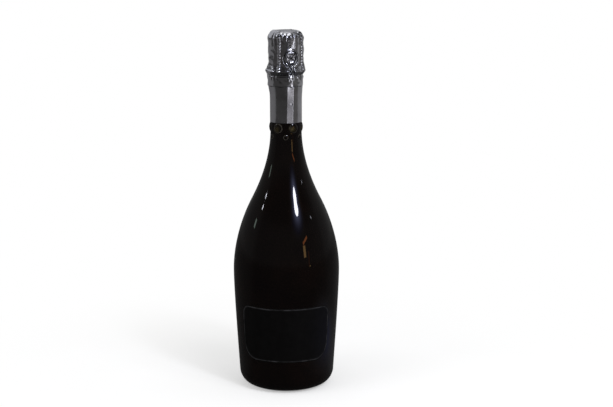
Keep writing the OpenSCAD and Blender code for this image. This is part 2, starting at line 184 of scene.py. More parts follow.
def surface(name, points, closedU=False, closedV=False, uv=None, keep=None, values=None):
    # mesh of a grid of points, rows along v and columns along u. A row that shrinks to one
    # point becomes a fan. uv is a grid of pattern coordinates in mm, one column wider when
    # u is closed. keep says which faces stay. values are named numbers, one for each point.
    rows, columns = points.shape[:2]
    index = np.arange(rows * columns).reshape(rows, columns)
    for r in (0, rows - 1):
        if np.ptp(points[r], axis=0).max() < samePoint:
            index[r] = index[r, 0]
    i, j = np.meshgrid(np.arange(rows - (not closedV)), np.arange(columns - (not closedU)), indexing="ij")
    i2, j2 = (i + 1) % rows, (j + 1) % columns
    corners = np.stack([index[i, j], index[i, j2], index[i2, j2], index[i2, j]], -1)
    if keep is not None:
        corners, i, j = corners[keep], i[keep], j[keep]
    corners, i, j = corners.reshape(-1, 4), i.ravel(), j.ravel()
    fan = (corners[:, 0] == corners[:, 1]) | (corners[:, 2] == corners[:, 3])
    used = np.unique(corners)
    renumber = np.zeros(rows * columns, int)
    renumber[used] = np.arange(len(used))
    faces, patterns = [], []
    for order, chosen in (((0, 1, 2, 3), ~fan),
                          ((0, 2, 3), fan & (corners[:, 0] == corners[:, 1])),
                          ((0, 1, 2), fan & (corners[:, 2] == corners[:, 3]))):
        faces += renumber[corners[chosen][:, order]].tolist()
        if uv is not None:
            stepI, stepJ = np.array([0, 0, 1, 1])[list(order)], np.array([0, 1, 1, 0])[list(order)]
            patterns.append(uv[i[chosen][:, None] + stepI, j[chosen][:, None] + stepJ].reshape(-1, 2))
    mesh = bpy.data.meshes.new(name)
    mesh.from_pydata((points.reshape(-1, 3)[used] * mm).tolist(), [], faces)
    if uv is not None:
        layer = mesh.uv_layers.new(name="pattern")
        layer.data.foreach_set("uv", np.concatenate(patterns).astype(np.float32).ravel())
    for key, grid in (values or {}).items():
        attribute = mesh.attributes.new(key, "FLOAT", "POINT")
        numbers = np.broadcast_to(grid, (rows, columns)).ravel()[used]
        attribute.data.foreach_set("value", numbers.astype(np.float32))
    mesh.polygons.foreach_set("use_smooth", np.ones(len(faces), bool))
    mesh.update()
    piece = bpy.data.objects.new(name, mesh)
    bpy.context.collection.objects.link(piece)
    return piece


def turnedPiece(name, line, columns, **more):
    # a line of (radius, height) points carried once round the axis
    return surface(name, roundAxis(line[:, :1], allRound(columns), line[:, 1:]), closedU=True, **more)


def tube(name, path, radius, reference, sides=10, closed=False):
    # circle carried along a path: its two axes stand square to the path's direction,
    # the first one as near to the reference direction as that allows
    closing = 0.1  # length of pattern that the stretch which closes a ring gets, in mm
    if closed:
        way = np.roll(path, -1, 0) - np.roll(path, 1, 0)
    else:
        way = np.gradient(path, axis=0)
    way /= np.linalg.norm(way, axis=1, keepdims=True)
    first = reference - (way * reference).sum(1, keepdims=True) * way
    first /= np.linalg.norm(first, axis=1, keepdims=True)
    second = np.cross(way, first)
    a = np.linspace(0, 2 * np.pi, sides, endpoint=False)[None, :, None]
    rings = path[:, None] + radius * (np.cos(a) * first[:, None] + np.sin(a) * second[:, None])
    if not closed:
        rings = np.concatenate([np.repeat(path[:1, None], sides, 1), rings,
                                np.repeat(path[-1:, None], sides, 1)])
    length = np.cumsum(np.r_[0, np.linalg.norm(np.diff(rings[:, 0], axis=0), axis=1), closing])
    around = np.arange(sides + 1) * (2 * np.pi * radius / sides)
    uv = np.stack(np.broadcast_arrays(around[None, :], length[:, None]), -1)
    return surface(name, rings, closedU=True, closedV=closed, uv=uv)


def thicken(piece, thickness):
    # gives a sheet its thickness on the inner side
    solid = piece.modifiers.new("thickness", "SOLIDIFY")
    solid.thickness = thickness * mm
    solid.offset = -1


def dress(piece, body, nodes, material):
    # hands a piece its material in a new slot and its body, and hides the nodes that it stands for
    piece.data.materials.append(material)
    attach(piece, body)
    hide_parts(*nodes)
    return piece


# Materials
def connect(tree, node, inputs):
    # sets a node's inputs, or links them to sockets or to the first outputs of other nodes
    for key, value in inputs.items():
        if isinstance(value, bpy.types.Node):
            value = value.outputs[0]
        if isinstance(value, bpy.types.NodeSocket):
            tree.links.new(value, node.inputs[key])
        else:
            node.inputs[key].default_value = value


def addNode(tree, kind, inputs=None, stops=None, **settings):
    # adds a node with its settings and inputs, and a ramp with its (place, colour) stops
    node = tree.nodes.new(kind)
    for key, value in settings.items():
        setattr(node, key, value)
    connect(tree, node, inputs or {})
    for i, (place, colour) in enumerate(stops or ()):
        points = node.color_ramp.elements
        point = points[i] if i < len(points) else points.new(place)
        point.position = place
        point.color = linear(colour)
    return node


def newMaterial(name, **values):
    # a material whose shader has constant values on its own sockets; returns it, its tree and
    # shader, and the object coordinates that its patterns read
    material = bpy.data.materials.new(name)
    material.use_nodes = True
    tree = material.node_tree
    shader = tree.nodes["Principled BSDF"]
    connect(tree, shader, {key.replace("_", " "): value for key, value in values.items()})
    return material, tree, shader, addNode(tree, "ShaderNodeTexCoord").outputs["Object"]


def emptyTree(owner):
    # the cleared node tree of a material or a world
    owner.use_nodes = True
    owner.node_tree.nodes.clear()
    return owner.node_tree


def perMetre(size):
    # pattern scale that makes features of this size in mm
    return 1 / (size * mm)


def bottleGlassMaterial():
    # Container glass, amber and blown in a mould: so dark that it shows as warm black, with a
    # hard gloss and the faint waves of a blown surface. In the large bubbles a brown glow is painted
    # in for light coming back through the glass, and every bubble has a paler rim painted as a highlight.
    material, tree, shader, place = newMaterial("darkAmberBlownGlass", Roughness=0.04, IOR=1.52)
    cloud = addNode(tree, "ShaderNodeTexNoise", {"Vector": place, "Scale": perMetre(34), "Detail": 3.0})
    colour = addNode(tree, "ShaderNodeValToRGB", {"Fac": cloud},
                     stops=((0.3, "#070404"), (0.55, "#0a0605"), (0.8, "#110907")))
    fleck = addNode(tree, "ShaderNodeTexNoise", {"Vector": place, "Scale": perMetre(5)})
    # painted light: the glow attribute mixes in an olive-brown painted glow, the rim attribute a pale painted
    # highlight
    for attribute, dark, light in (("glow", "#262013", "#4e4630"), ("rim", "#2b2721", "#69645c")):
        share = addNode(tree, "ShaderNodeAttribute", attribute_name=attribute).outputs["Fac"]
        tint = addNode(tree, "ShaderNodeValToRGB", {"Fac": fleck}, stops=((0.35, dark), (0.62, light)))
        colour = addNode(tree, "ShaderNodeMix", {"Factor": share, "A": colour, "B": tint},
                         data_type="RGBA").outputs["Result"]
    wave = addNode(tree, "ShaderNodeTexNoise", {"Vector": place, "Scale": perMetre(14), "Detail": 1.0})
    bump = addNode(tree, "ShaderNodeBump", {"Height": wave, "Distance": 0.05 * mm})
    connect(tree, shader, {"Base Color": colour, "Normal": bump})
    return material


def foilMaterial(name, dark, light, roughness, grain, depth):
    # Laminated aluminium foil, rolled and then crumpled by hand: satin silver grey with fine
    # creases, smudges that change its gloss from place to place, shade painted in along the key's
    # loop and in dashes at the tear line, and a small dent that is darker in its middle.
    material, tree, shader, place = newMaterial(name, Metallic=1.0)
    smudge = addNode(tree, "ShaderNodeTexNoise", {"Vector": place, "Scale": perMetre(9), "Detail": 3.0})
    gloss = addNode(tree, "ShaderNodeMapRange", {"Value": smudge, "From Min": 0.3, "From Max": 0.7,
                                                 "To Min": roughness - 0.05, "To Max": roughness + 0.06})
    silver = addNode(tree, "ShaderNodeValToRGB", {"Fac": smudge}, stops=((0.3, dark), (0.75, light)))
    # the dark attribute mixes in brown black: painted shade along the key's loop and in dashes at the tear
    # line, and a darker middle at a small dent
    paintedShade = addNode(tree, "ShaderNodeAttribute", attribute_name="dark").outputs["Fac"]
    colour = addNode(tree, "ShaderNodeMix", {"Factor": paintedShade, "A": silver, "B": linear("#1d1a18")},
                     data_type="RGBA").outputs["Result"]
    crinkle = addNode(tree, "ShaderNodeTexNoise", {"Vector": place, "Scale": perMetre(grain), "Detail": 2.0})
    bump = addNode(tree, "ShaderNodeBump", {"Height": crinkle, "Distance": depth * mm})
    connect(tree, shader, {"Base Color": colour, "Roughness": gloss, "Normal": bump})
    return material


def labelMaterial(name):
    # Black coated label paper, printed and varnished matt: soft black, slightly lighter than the
    # glass, with a fine paper tooth and a grey highlight painted on its raised border.
    material, tree, shader, place = newMaterial(name, Roughness=0.5, Specular_IOR_Level=0.3)
    cloud = addNode(tree, "ShaderNodeTexNoise", {"Vector": place, "Scale": perMetre(6), "Detail": 4.0})
    paper = addNode(tree, "ShaderNodeValToRGB", {"Fac": cloud}, stops=((0.3, "#080606"), (0.7, "#0c0a0a")))
    # grey highlight painted along the label's raised border, where the border attribute says
    paintedBorderHighlight = addNode(tree, "ShaderNodeValToRGB", {"Fac": cloud}, stops=((0.35, "#1c1c1d"), (0.65, "#404043")))
    border = addNode(tree, "ShaderNodeAttribute", attribute_name="border").outputs["Fac"]
    colour = addNode(tree, "ShaderNodeMix", {"Factor": border, "A": paper, "B": paintedBorderHighlight},
                     data_type="RGBA").outputs["Result"]
    tooth = addNode(tree, "ShaderNodeTexNoise", {"Vector": place, "Scale": perMetre(0.5)})
    bump = addNode(tree, "ShaderNodeBump", {"Height": tooth, "Distance": 0.02 * mm})
    connect(tree, shader, {"Base Color": colour, "Normal": bump})
    return material


def corkMaterial(name, granule, dark, light, pale):
    # Cork: pressed granules or cut bark, matt and porous, each granule with its own brown and a
    # dark seam round it.
    material, tree, shader, place = newMaterial(name, Roughness=0.85, Specular_IOR_Level=0.3)
    cells = addNode(tree, "ShaderNodeTexVoronoi", {"Vector": place, "Scale": perMetre(granule)})
    grey = addNode(tree, "ShaderNodeSeparateColor", {"Color": cells.outputs["Color"]})
    speck = addNode(tree, "ShaderNodeTexNoise", {"Vector": place, "Scale": perMetre(0.7), "Detail": 4.0,
                                                 "Roughness": 0.7})
    speckShare = addNode(tree, "ShaderNodeMath", {0: speck, 1: 0.5}, operation="MULTIPLY")
    blended = addNode(tree, "ShaderNodeMath", {0: grey, 1: 0.6, 2: speckShare}, operation="MULTIPLY_ADD")
    brown = addNode(tree, "ShaderNodeValToRGB", {"Fac": blended},
                    stops=((0.15, dark), (0.45, light), (0.9, pale)))
    edges = addNode(tree, "ShaderNodeTexVoronoi", {"Vector": place, "Scale": perMetre(granule)},
                    feature="DISTANCE_TO_EDGE")
    seams = addNode(tree, "ShaderNodeMath", {0: edges, 1: 4.0}, operation="MULTIPLY")
    pores = addNode(tree, "ShaderNodeMath", {0: seams, 1: speck}, operation="MINIMUM")
    bump = addNode(tree, "ShaderNodeBump", {"Height": pores, "Distance": 0.2 * mm})
    connect(tree, shader, {"Base Color": brown, "Normal": bump})
    return material


def wireMaterial():
    # Drawn galvanised steel wire: dull zinc grey, mottled, with fine draw lines along it.
    material, tree, shader, place = newMaterial("drawnGalvanisedWire", Metallic=1.0, Roughness=0.3)
    mottle = addNode(tree, "ShaderNodeTexNoise", {"Vector": place, "Scale": perMetre(1.6), "Detail": 3.0})
    zinc = addNode(tree, "ShaderNodeValToRGB", {"Fac": mottle}, stops=((0.3, "#8b8d90"), (0.7, "#c4c6c9")))
    along = addNode(tree, "ShaderNodeTexCoord").outputs["UV"]
    # the pattern coordinates are in mm: six draw lines to the mm, each about 4 mm long, which is
    # coarser than the die leaves them, so that they show
    stretched = addNode(tree, "ShaderNodeMapping", {"Vector": along, "Scale": (6.0, 1 / 4.0, 1.0)})
    lines = addNode(tree, "ShaderNodeTexNoise", {"Vector": stretched, "Scale": 1.0})
    bump = addNode(tree, "ShaderNodeBump", {"Height": lines, "Distance": 0.02 * mm})
    connect(tree, shader, {"Base Color": zinc, "Normal": bump})
    return material


def capMaterial():
    # Tinplate, pressed and clear lacquered: pale silver with a soft coat and faint press marks.
    material, tree, shader, place = newMaterial("lacqueredTinplate", Metallic=1.0, Roughness=0.28,
                                                Coat_Weight=0.4, Coat_Roughness=0.12)
    bloom = addNode(tree, "ShaderNodeTexNoise", {"Vector": place, "Scale": perMetre(5), "Detail": 3.0})
    tin = addNode(tree, "ShaderNodeValToRGB", {"Fac": bloom}, stops=((0.3, "#a2a3a6"), (0.7, "#c4c5c8")))
    marks = addNode(tree, "ShaderNodeTexNoise", {"Vector": place, "Scale": perMetre(0.9)})
    bump = addNode(tree, "ShaderNodeBump", {"Height": marks, "Distance": 0.015 * mm})
    connect(tree, shader, {"Base Color": tin, "Normal": bump})
    return material


def wineMaterial():
    # Sparkling white wine: clear pale gold, seen only where the glass would let it.
    material, tree, shader, place = newMaterial("paleGoldWine", Roughness=0.05, IOR=1.34,
                                                Transmission_Weight=0.8)
    cloud = addNode(tree, "ShaderNodeTexNoise", {"Vector": place, "Scale": perMetre(20), "Detail": 1.0})
    gold = addNode(tree, "ShaderNodeValToRGB", {"Fac": cloud}, stops=((0.3, "#cfa74a"), (0.7, "#e2c26c")))
    connect(tree, shader, {"Base Color": gold})
    return material


# Glass bottle
glass = {
    "height": nodeTop("glass_bottle"),
    "bodyRadius": nodeRadius("glass_bottle"),
    "bellyHeight": 106.5,
    "heelRadius": 42.8, "heelRounding": 13.4,
    "sideLean": 3.8,  # of the side just over the heel, outwards
    "turn": (30.75, 172.035), "turnLean": 27.3,  # where the shoulder leans most
    "neckFoot": 234.0, "neckRadius": 13.9,
    "wall": 5.5, "baseThickness": 9.0,
    "hollowHeight": 36.0, "hollowLean": 62.0, "hollowRounding": 4.0,
    "standWidth": 2.8, "troughRounding": 4.5,
    "boreRadius": 8.9, "boreDepth": 40.0, "neckBoreRadius": 9.8,
    "sideShares": (0.2, 0.2), "shoulderShares": (0.25, 0.41),
    "neckShares": (0.36, 0.31), "hollowShares": (0.45, 0.4),
    "columns": 256,
    "fineZone": (80.0, 58.0), "fineStep": 0.36,  # the bubbles' stretch, below the lip, has a finer mesh
    "insideStep": 6.0,
}
# rings of the mouth, whose drops are measured down from the lip
mouth = {
    "beadRadius": 13.3, "beadHeight": 5.0,
    "grooveRadius": 12.5, "grooveHeight": 2.4,
    "collarRadius": 14.6, "collarDrop": 16.4, "collarBand": 1.2,
    "throatRadius": 12.9, "throatDrop": 40.0,
    "rounding": 0.9,
}
bubble = {
    "count": 6, "firstAz": -31.0, "rowStep": 8.0, "gap": 0.15,  # gap: to the foil's foot
    "large": (4.4, 1.1), "small": (2.4, 0.7),  # radius at the foot and rise above the neck
    "foot": 0.16, "footFade": 0.8,  # how softly a bubble meets the neck
    "moat": 0.1, "moatOff": 0.2, "moatWidth": 0.5,  # shallow ring pressed in round each
    "paintedRimHighlight": 0.45, "rimIn": 0.5, "rimWidth": 0.28,  # painted highlight: paler ring just inside the foot
    "paintedGlowPlace": (-1.4, -0.9), "paintedGlowSize": 2.1,  # painted glow: its place from the middle of a large bubble, and its size
}
standRadius = glass["heelRadius"] - glass["heelRounding"]
collarFoot = glass["height"] - mouth["collarDrop"]
collarTop = collarFoot + mouth["rounding"] + mouth["collarBand"]
beadFoot = glass["height"] - mouth["beadHeight"]
grooveFoot = beadFoot - mouth["grooveHeight"]


def heelEnd(inset):
    # where the heel's rounding gives way to the side
    lean = math.radians(glass["sideLean"])
    reach = glass["heelRounding"] - inset
    return np.array([standRadius + reach * math.cos(lean), glass["heelRounding"] - reach * math.sin(lean)])


def sideLine(inset, topRadius, count=26):
    # swelling side, shoulder and hollow run into the neck, inset from the outer face
    g = glass
    start = heelEnd(inset)
    belly = (g["bodyRadius"] - inset, g["bellyHeight"])
    lean = math.radians(g["turnLean"])
    turn = (g["turn"][0] - inset * math.cos(lean), g["turn"][1] - inset * math.sin(lean))
    neck = (topRadius, g["neckFoot"])
    return np.concatenate([
        [start],
        bend(start, upright(-g["sideLean"]), belly, upright(0), g["sideShares"], count),
        bend(belly, upright(0), turn, upright(g["turnLean"]), g["shoulderShares"], count),
        bend(turn, upright(g["turnLean"]), neck, upright(0), g["neckShares"], count)])


def domeLine(topHeight, foot, count=18):
    # dome from its top on the axis down and out to its foot
    lean = math.radians(glass["hollowLean"])
    top = (0, topHeight)
    arrive = (math.cos(lean), -math.sin(lean))
    return np.concatenate([[top], bend(top, (1, 0), foot, arrive, glass["hollowShares"], count)])


def lipLine():
    # throat, collar, groove and rolled bead of the mouth, upwards and over into the bore
    g, m = glass, mouth
    top, e = g["height"], m["rounding"]
    return np.concatenate([
        [(g["neckRadius"], top - m["throatDrop"]),
         (m["throatRadius"], collarFoot - e), (m["throatRadius"] + e / 3, collarFoot)],
        arc((m["collarRadius"] - e, collarFoot + e), e, -90, 0, 8),
        [(m["collarRadius"], collarTop), (m["grooveRadius"] + e, grooveFoot),
         (m["grooveRadius"], grooveFoot + e), (m["grooveRadius"], beadFoot - e / 3),
         (m["beadRadius"] - e / 3, beadFoot), (m["beadRadius"], beadFoot + e)],
        arc((m["beadRadius"] - e, top - e), e, 0, 90, 8),
        arc((g["boreRadius"] + e, top - e), e, 90, 180, 6)])


def glassLine():
    # the whole section and the number of its outer points: up the dome of the hollow, standing
    # ring, heel, side and mouth, then down the bore, the inner wall and the dome's upper face
    g = glass
    lean = math.radians(g["hollowLean"])
    inwards = np.array([math.sin(lean), math.cos(lean)])
    foot = np.array([standRadius - g["standWidth"], g["hollowRounding"]])
    outside = np.concatenate([
        domeLine(g["hollowHeight"], foot - g["hollowRounding"] * inwards),
        arc(foot, g["hollowRounding"], -90 - g["hollowLean"], -90, 8),
        arc((standRadius, g["heelRounding"]), g["heelRounding"], -90, -g["sideLean"], 20),
        sideLine(0, g["neckRadius"])[1:],
        lipLine()])
    trough = heelEnd(g["wall"] + g["troughRounding"])
    inside = np.concatenate([
        domeLine(g["hollowHeight"] + g["baseThickness"], trough - g["troughRounding"] * inwards),
        arc(trough, g["troughRounding"], -90 - g["hollowLean"], -g["sideLean"], 10),
        sideLine(g["wall"], g["neckBoreRadius"])[1:],
        [(g["boreRadius"], g["height"] - g["boreDepth"])]])
    low, high = (g["height"] - drop for drop in g["fineZone"])
    outside = finer(outside, g["fineStep"], low, high)
    return np.concatenate([outside, finer(inside[::-1], g["insideStep"])]), len(outside)


def sideRadius(height):
    # the outer radius of the glass at a height of its side
    line = sideLine(0, glass["neckRadius"])
    return np.interp(height, line[:, 1], line[:, 0])


def makeGlass():
    # the section turned round the axis, whose radius grows by the cap of a ball in each bubble's
    # circle; two staggered rows of bubbles stand just under the foil
    b = bubble
    line, outerCount = glassLine()
    az = allRound(glass["columns"])
    radius, height = line[:, :1], line[:, 1:]
    outer = np.arange(len(line))[:, None] < outerCount
    rise, glow, rim = (np.zeros(np.broadcast(radius, az).shape) for _ in range(3))
    topRow = nodeFoot("foil_skirt") - b["gap"] - b["large"][0]
    for k in range(b["count"]):
        for row, (reach, lift) in enumerate((b["large"], b["small"])):
            across = alongArc(az, b["firstAz"] + (k + row / 2) * 360 / b["count"], glass["neckRadius"])
            up = height - topRow + row * b["rowStep"]
            away = np.hypot(across, up)
            # radius of the ball whose cap has this reach and lift, softened where it meets the neck
            ball = (reach ** 2 + lift ** 2) / (2 * lift)
            cap = np.sqrt(np.maximum(ball ** 2 - away ** 2, 0)) - (ball - lift)
            cap = (cap + np.sqrt(cap ** 2 + b["foot"] ** 2)) / 2
            rise += cap * (1 - rising(away, reach, b["footFade"]))
            rise -= b["moat"] * hump(away - reach - b["moatOff"], b["moatWidth"])
            # painted highlight: a paler ring just inside the bubble's foot
            rim = np.maximum(rim, b["paintedRimHighlight"] * hump(away - reach + b["rimIn"], b["rimWidth"]))
            # painted glow of light coming back brown through each large bubble, off its middle
            if row == 0:
                glowX, glowZ = b["paintedGlowPlace"]
                glow = np.maximum(glow, hump(np.hypot(across - glowX, up - glowZ), b["paintedGlowSize"]))
    piece = surface("bottleGlass", roundAxis(radius + rise * outer, az, height), closedU=True,
                    values={"glow": glow * outer, "rim": rim * outer})
    return dress(piece, "bottle", ["glass_bottle"], bottleGlassMaterial())


# Foil
foilFinishes = {
    # darker and lighter grey, roughness, size and depth of the fine creases in mm
    "crumpledLaminateFoil": ("#a6a6a9", "#bdbdc0", 0.18, 2.4, 0.06),
    "flatLaminateFoil": ("#a6a6a9", "#b8b8bb", 0.3, 3.5, 0.05),
    "wrappedLaminateFoil": ("#a6a6a9", "#b8b8bb", 0.2, 4.0, 0.03),
}
tear = {"rise": 0.08, "teethPerDegree": 0.18, "fade": 1.0}  # the jagged edges at the perforated line
hinge = next(joint["pos_m"] for joint in frame["joints"] if joint["name"] == "key_fold")
keyAz = math.degrees(math.atan2(hinge[0], -hinge[1]))
beltHeight = hinge[2] / mm
# In all dictionaries, a pair named Start or End is where a smooth step starts and how far it reaches,
# and a pair named Noise is its size in mm and the share of the height that it counts.
hood = {
    "top": nodeTop("foil_hood"), "foot": nodeFoot("foil_hood"),
    "thickness": 0.15,
    "columns": 330, "wallRows": 110, "rimRows": 36,
    # the smooth wall and rim
    "topHole": 6.0,  # radius of the hole under the top disc
    "flatRadius": 8.8, "domeDrop": 7.8,  # between the legs: flat middle, and height of the rounded shoulder
    "legRimRadius": 3.45, "legReach": 3.4,  # over the legs: rounding of the rim, and how wide it is
    "wallRadius": 14.85, "lowRadius": 15.1, "wallStart": (281.0, 11.0),
    "fullness": 0.88, "fullAz": (-91, 91), "fullWidth": 25,
    "bulge": 1.3, "bulgeFuller": 0.45, "bulgeHeight": 287.2, "bulgeUp": 4.2, "bulgeDown": 3.1,
    "ledge": 0.4, "ledgeOff": 1.6, "ledgeWidth": 0.9,  # over the belt
    "groove": 0.75, "grooveOff": 1.9, "grooveWidth": 1.0,  # under the belt
    # loose fold on the left below the bulge, and how much of the groove it fills
    "sag": 1.2, "sagAz": -97.0, "sagWidth": 38.0, "sagFade": 5.0, "sagFills": 0.8,
    # ridges over the wire legs, and the valleys beside them
    "legAz": -23.0, "legCount": 4,
    "ridge": 1.0, "ridgeWidth": 1.05, "ridgeTop": 2.6, "ridgeFoot": 1.5, "ridgeFade": 3.0,
    "beadPitch": 2.5, "beadRise": 0.22, "beadLean": 0.9,
    "valley": 0.3, "valleyOff": 3.2, "valleyWidth": 1.6, "valleyStart": (288.0, 4.0),
    # pleats from the rim down, and gathers under the belt
    "pleats": 25, "pleatSharpness": 1.5, "pleatUneven": 0.7, "pleatNoise": (7.0, 0.12),
    "pleatDepth": 0.55, "pleatDepthSpread": 0.4, "pleatDepthNoise": (4.0, 0.0),
    "pleatFoot": 306.5, "pleatFootSpread": 4.5, "pleatFootNoise": (5.0, 0.0),
    "pleatFade": 6.0, "pleatEnd": (11.0, 2.6),
    "gathers": 17, "gatherSharpness": 1.4, "gatherUneven": 0.6, "gatherNoise": (8.0, 0.2),
    "gatherDepth": 0.7, "gatherHeight": 281.5, "gatherReach": 2.4,
    "pucker": 0.3, "puckerReach": 4.0, "puckerSize": 4.5,
    # swells, dents and fine creases of the wall: depth, size, height for width, and lean
    "swell": (0.4, 6.0), "dent": (0.95, 4.6, 1.3, 0.5), "crease": (0.07, 1.7, 1.5, -0.3),
    "crumpleMiddle": 0.3,  # height in a bowl that stays where the smooth foil is
    "patchSize": 9.0, "patchLeast": 0.4, "patchGain": 1.6,
    "dentStart": (1.0, 4.0), "dentEnd": (11.5, 2.0),
    "rimStart": (311.0, 3.0),  # heights over which the crumples begin to move the rim up and down too
}
dimple = {
    "height": 298.1, "radius": 6.2,
    "stemWidth": 1.7,  # half width of the groove under the stem
    "wall": 1.1,
    "clearance": 0.25, "corkRadius": 13.1, "grooveFill": 0.6, "beadStep": 0.5,
    "crumple": 1.1, "crumpleSize": 3.0, "fineCrumple": 0.35, "fineSize": 1.3, "crumpleStart": (0.6, 1.2),
    "bowl": 1.2, "bowlEdge": 1.5,
    "lip": 0.35, "lipOff": 1.6, "lipWidth": 0.7, "lipFoot": 291.0,
    "shade": 0.55, "shadeOff": 0.3, "shadeWidth": 0.35, "shadeDrop": 2.0,
    "slitWidth": 1.2, "slitTop": 288.0, "slitFoot": 284.2,  # slitWidth is half of it too
}
hoodRound = 2 * math.pi * hood["wallRadius"]
crumpledFoil, flatFoil, smoothFoil = (foilMaterial(name, *finish) for name, finish in foilFinishes.items())


def legAzimuth(k):
    # azimuth of one of the evenly spaced legs
    return hood["legAz"] + k * 360 / hood["legCount"]


def fromLegs(az, radius):
    # distances in mm from each of the four legs, along a circle of this radius
    return [alongArc(az, legAzimuth(k), radius) for k in range(hood["legCount"])]


def fullAt(az):
    # bells at the azimuths where the hood stands fuller
    return sum(hump(turned(az - full), hood["fullWidth"]) for full in hood["fullAz"])


def sagAt(az):
    # share of the loose fold at an azimuth
    return hump(turned(az - hood["sagAz"]), hood["sagWidth"])


def rimReach(az):
    # radius of the hood's wall under its rim
    return hood["wallRadius"] + hood["fullness"] * fullAt(az)


def rimHeight(r, az):
    # height of the hood's top at a radius: a quarter ellipse between the legs, and a
    # tighter quarter circle over each leg
    reach = rimReach(az)
    quarter = lambda wide, tall: tall * (1 - np.sqrt(1 - np.clip((r - reach + wide) / wide, 0, 1) ** 2))
    between = quarter(reach - hood["flatRadius"], hood["domeDrop"])
    over = quarter(hood["legRimRadius"], hood["legRimRadius"])
    share = np.minimum(sum(hump(t, hood["legReach"]) for t in fromLegs(az, hood["wallRadius"])), 1)
    return hood["top"] - between * (1 - share) - over * share


def innerLimit(z):
    # closest that the foil may come to the cork and the glass mouth behind it
    groove = mouth["grooveRadius"] + dimple["grooveFill"]
    mouthRadius = np.interp(z, [collarTop, grooveFoot, beadFoot, beadFoot + dimple["beadStep"]],
                            [mouth["collarRadius"], groove, groove, mouth["beadRadius"]])
    return dimple["clearance"] + np.maximum(mouthRadius, dimple["corkRadius"])


def fold(phase, sharpness):
    # sharp ridge at each whole number of the phase: (1 - |sin(pi phase)|) ^ sharpness, less 0.4 so
    # that the foil also moves in between the ridges
    return (1 - np.abs(np.sin(np.pi * phase))) ** sharpness - 0.4


def tornEdge(az, inwards):
    # height of the small teeth at the perforated line, which fade with the distance inwards
    teeth = np.abs((az * tear["teethPerDegree"]) % 1 - 0.5)
    return tear["rise"] * teeth * (1 - rising(inwards, 0, tear["fade"]))


def hoodPoints(az):
    # radius and height of the smooth hood, rows upwards and a column for each azimuth: a wall with
    # one lopsided bell over the glass collar, then the rim, whose radius shrinks by a cosine
    h = hood
    reach, full, sag = rimReach(az), fullAt(az), sagAt(az)
    z = h["foot"] + (rimHeight(reach, az) - h["foot"]) * np.linspace(0, 1, h["wallRows"])[:, None]
    fromBulge = z - h["bulgeHeight"]
    bell = np.where(fromBulge > 0, hump(fromBulge, h["bulgeUp"]), hump(fromBulge, h["bulgeDown"]))
    wall = h["lowRadius"] + (reach - h["lowRadius"]) * rising(z, *h["wallStart"])
    wall = wall + (h["bulge"] + h["bulgeFuller"] * full) * bell
    wall = wall + h["sag"] * sag * (1 - rising(z, beltHeight, h["sagFade"]))
    wall = wall + h["ledge"] * hump(z - beltHeight - h["ledgeOff"], h["ledgeWidth"])
    groove = hump(z - beltHeight + h["grooveOff"], h["grooveWidth"])
    wall = wall - h["groove"] * groove * (1 - h["sagFills"] * sag)
    turn = np.linspace(0, np.pi / 2, h["rimRows"] + 1)[1:, None]
    r = h["topHole"] + (reach - h["topHole"]) * np.cos(turn)
    return np.concatenate([wall, r]), np.concatenate([z, rimHeight(r, az)])


def legRidges(az, z, v):
    # beaded ridges over the twisted legs, with a shallow valley on each side
    h = hood
    upper = rising(h["top"] - z, h["ridgeTop"], h["ridgeFade"])
    lower = rising(z, beltHeight - h["ridgeFoot"], h["ridgeFade"])
    lift = 0
    for t in fromLegs(az, h["wallRadius"]):
        bead = h["beadRise"] * np.cos(2 * np.pi * (v - h["beadLean"] * t) / h["beadPitch"])
        lift = lift + (h["ridge"] + bead) * hump(t, h["ridgeWidth"]) * upper * lower
        beside = hump(np.abs(t) - h["valleyOff"], h["valleyWidth"])
        lift = lift - h["valley"] * beside * rising(z, *h["valleyStart"]) * upper
    return lift


def pleats(az, u, v, z, r):
    # sharp folds from the rim down the wall, at uneven distances and with uneven depths and ends
    h = hood
    shift = h["pleatUneven"] * drawnNoise(u, v, h["pleatNoise"], hoodRound, seed=3)
    foot = h["pleatFoot"] + h["pleatFootSpread"] * drawnNoise(u, z, h["pleatFootNoise"], hoodRound, seed=4)
    spread = h["pleatDepthSpread"]
    depth = 1 - spread + spread * drawnNoise(u, z, h["pleatDepthNoise"], hoodRound, seed=14)
    pleat = h["pleatDepth"] * depth * fold(h["pleats"] * az / 360 + shift, h["pleatSharpness"])
    return pleat * rising(z, foot, h["pleatFade"]) * rising(r, *h["pleatEnd"])


def gathers(az, u, z):
    # gathers and a soft pucker under the belt, which fade towards the tear line
    h = hood
    below = z - h["gatherHeight"]
    shift = h["gatherUneven"] * drawnNoise(u, z, h["gatherNoise"], hoodRound, seed=5)
    gather = fold(h["gathers"] * az / 360 + shift, h["gatherSharpness"])
    gather = h["gatherDepth"] * gather * hump(below, h["gatherReach"])
    noise = softNoise(u, z, h["puckerSize"], hoodRound, seed=6)
    return gather + h["pucker"] * hump(below, h["puckerReach"]) * noise


def dents(u, v, z, r):
    # soft swells, then bowls taller than wide, in patches and leaning, so that the ridges between
    # them run slantwise, and fine creases of the same kind over all
    h = hood
    swell, swellSize = h["swell"]
    lift = swell * softNoise(u, v, swellSize, hoodRound, seed=7)
    patch = smooth(h["patchGain"] * softNoise(u, v, h["patchSize"], hoodRound, seed=9))
    patch = h["patchLeast"] + (1 - h["patchLeast"]) * patch
    for (depth, size, tall, lean), share, seed in ((h["dent"], patch, 8), (h["crease"], 1, 10)):
        crumple = bowls(u + lean * v, v, size, hoodRound, seed, tall) - h["crumpleMiddle"]
        lift = lift + depth * share * crumple
    return lift * rising(r, *h["dentEnd"]) * rising(z - h["foot"], *h["dentStart"])


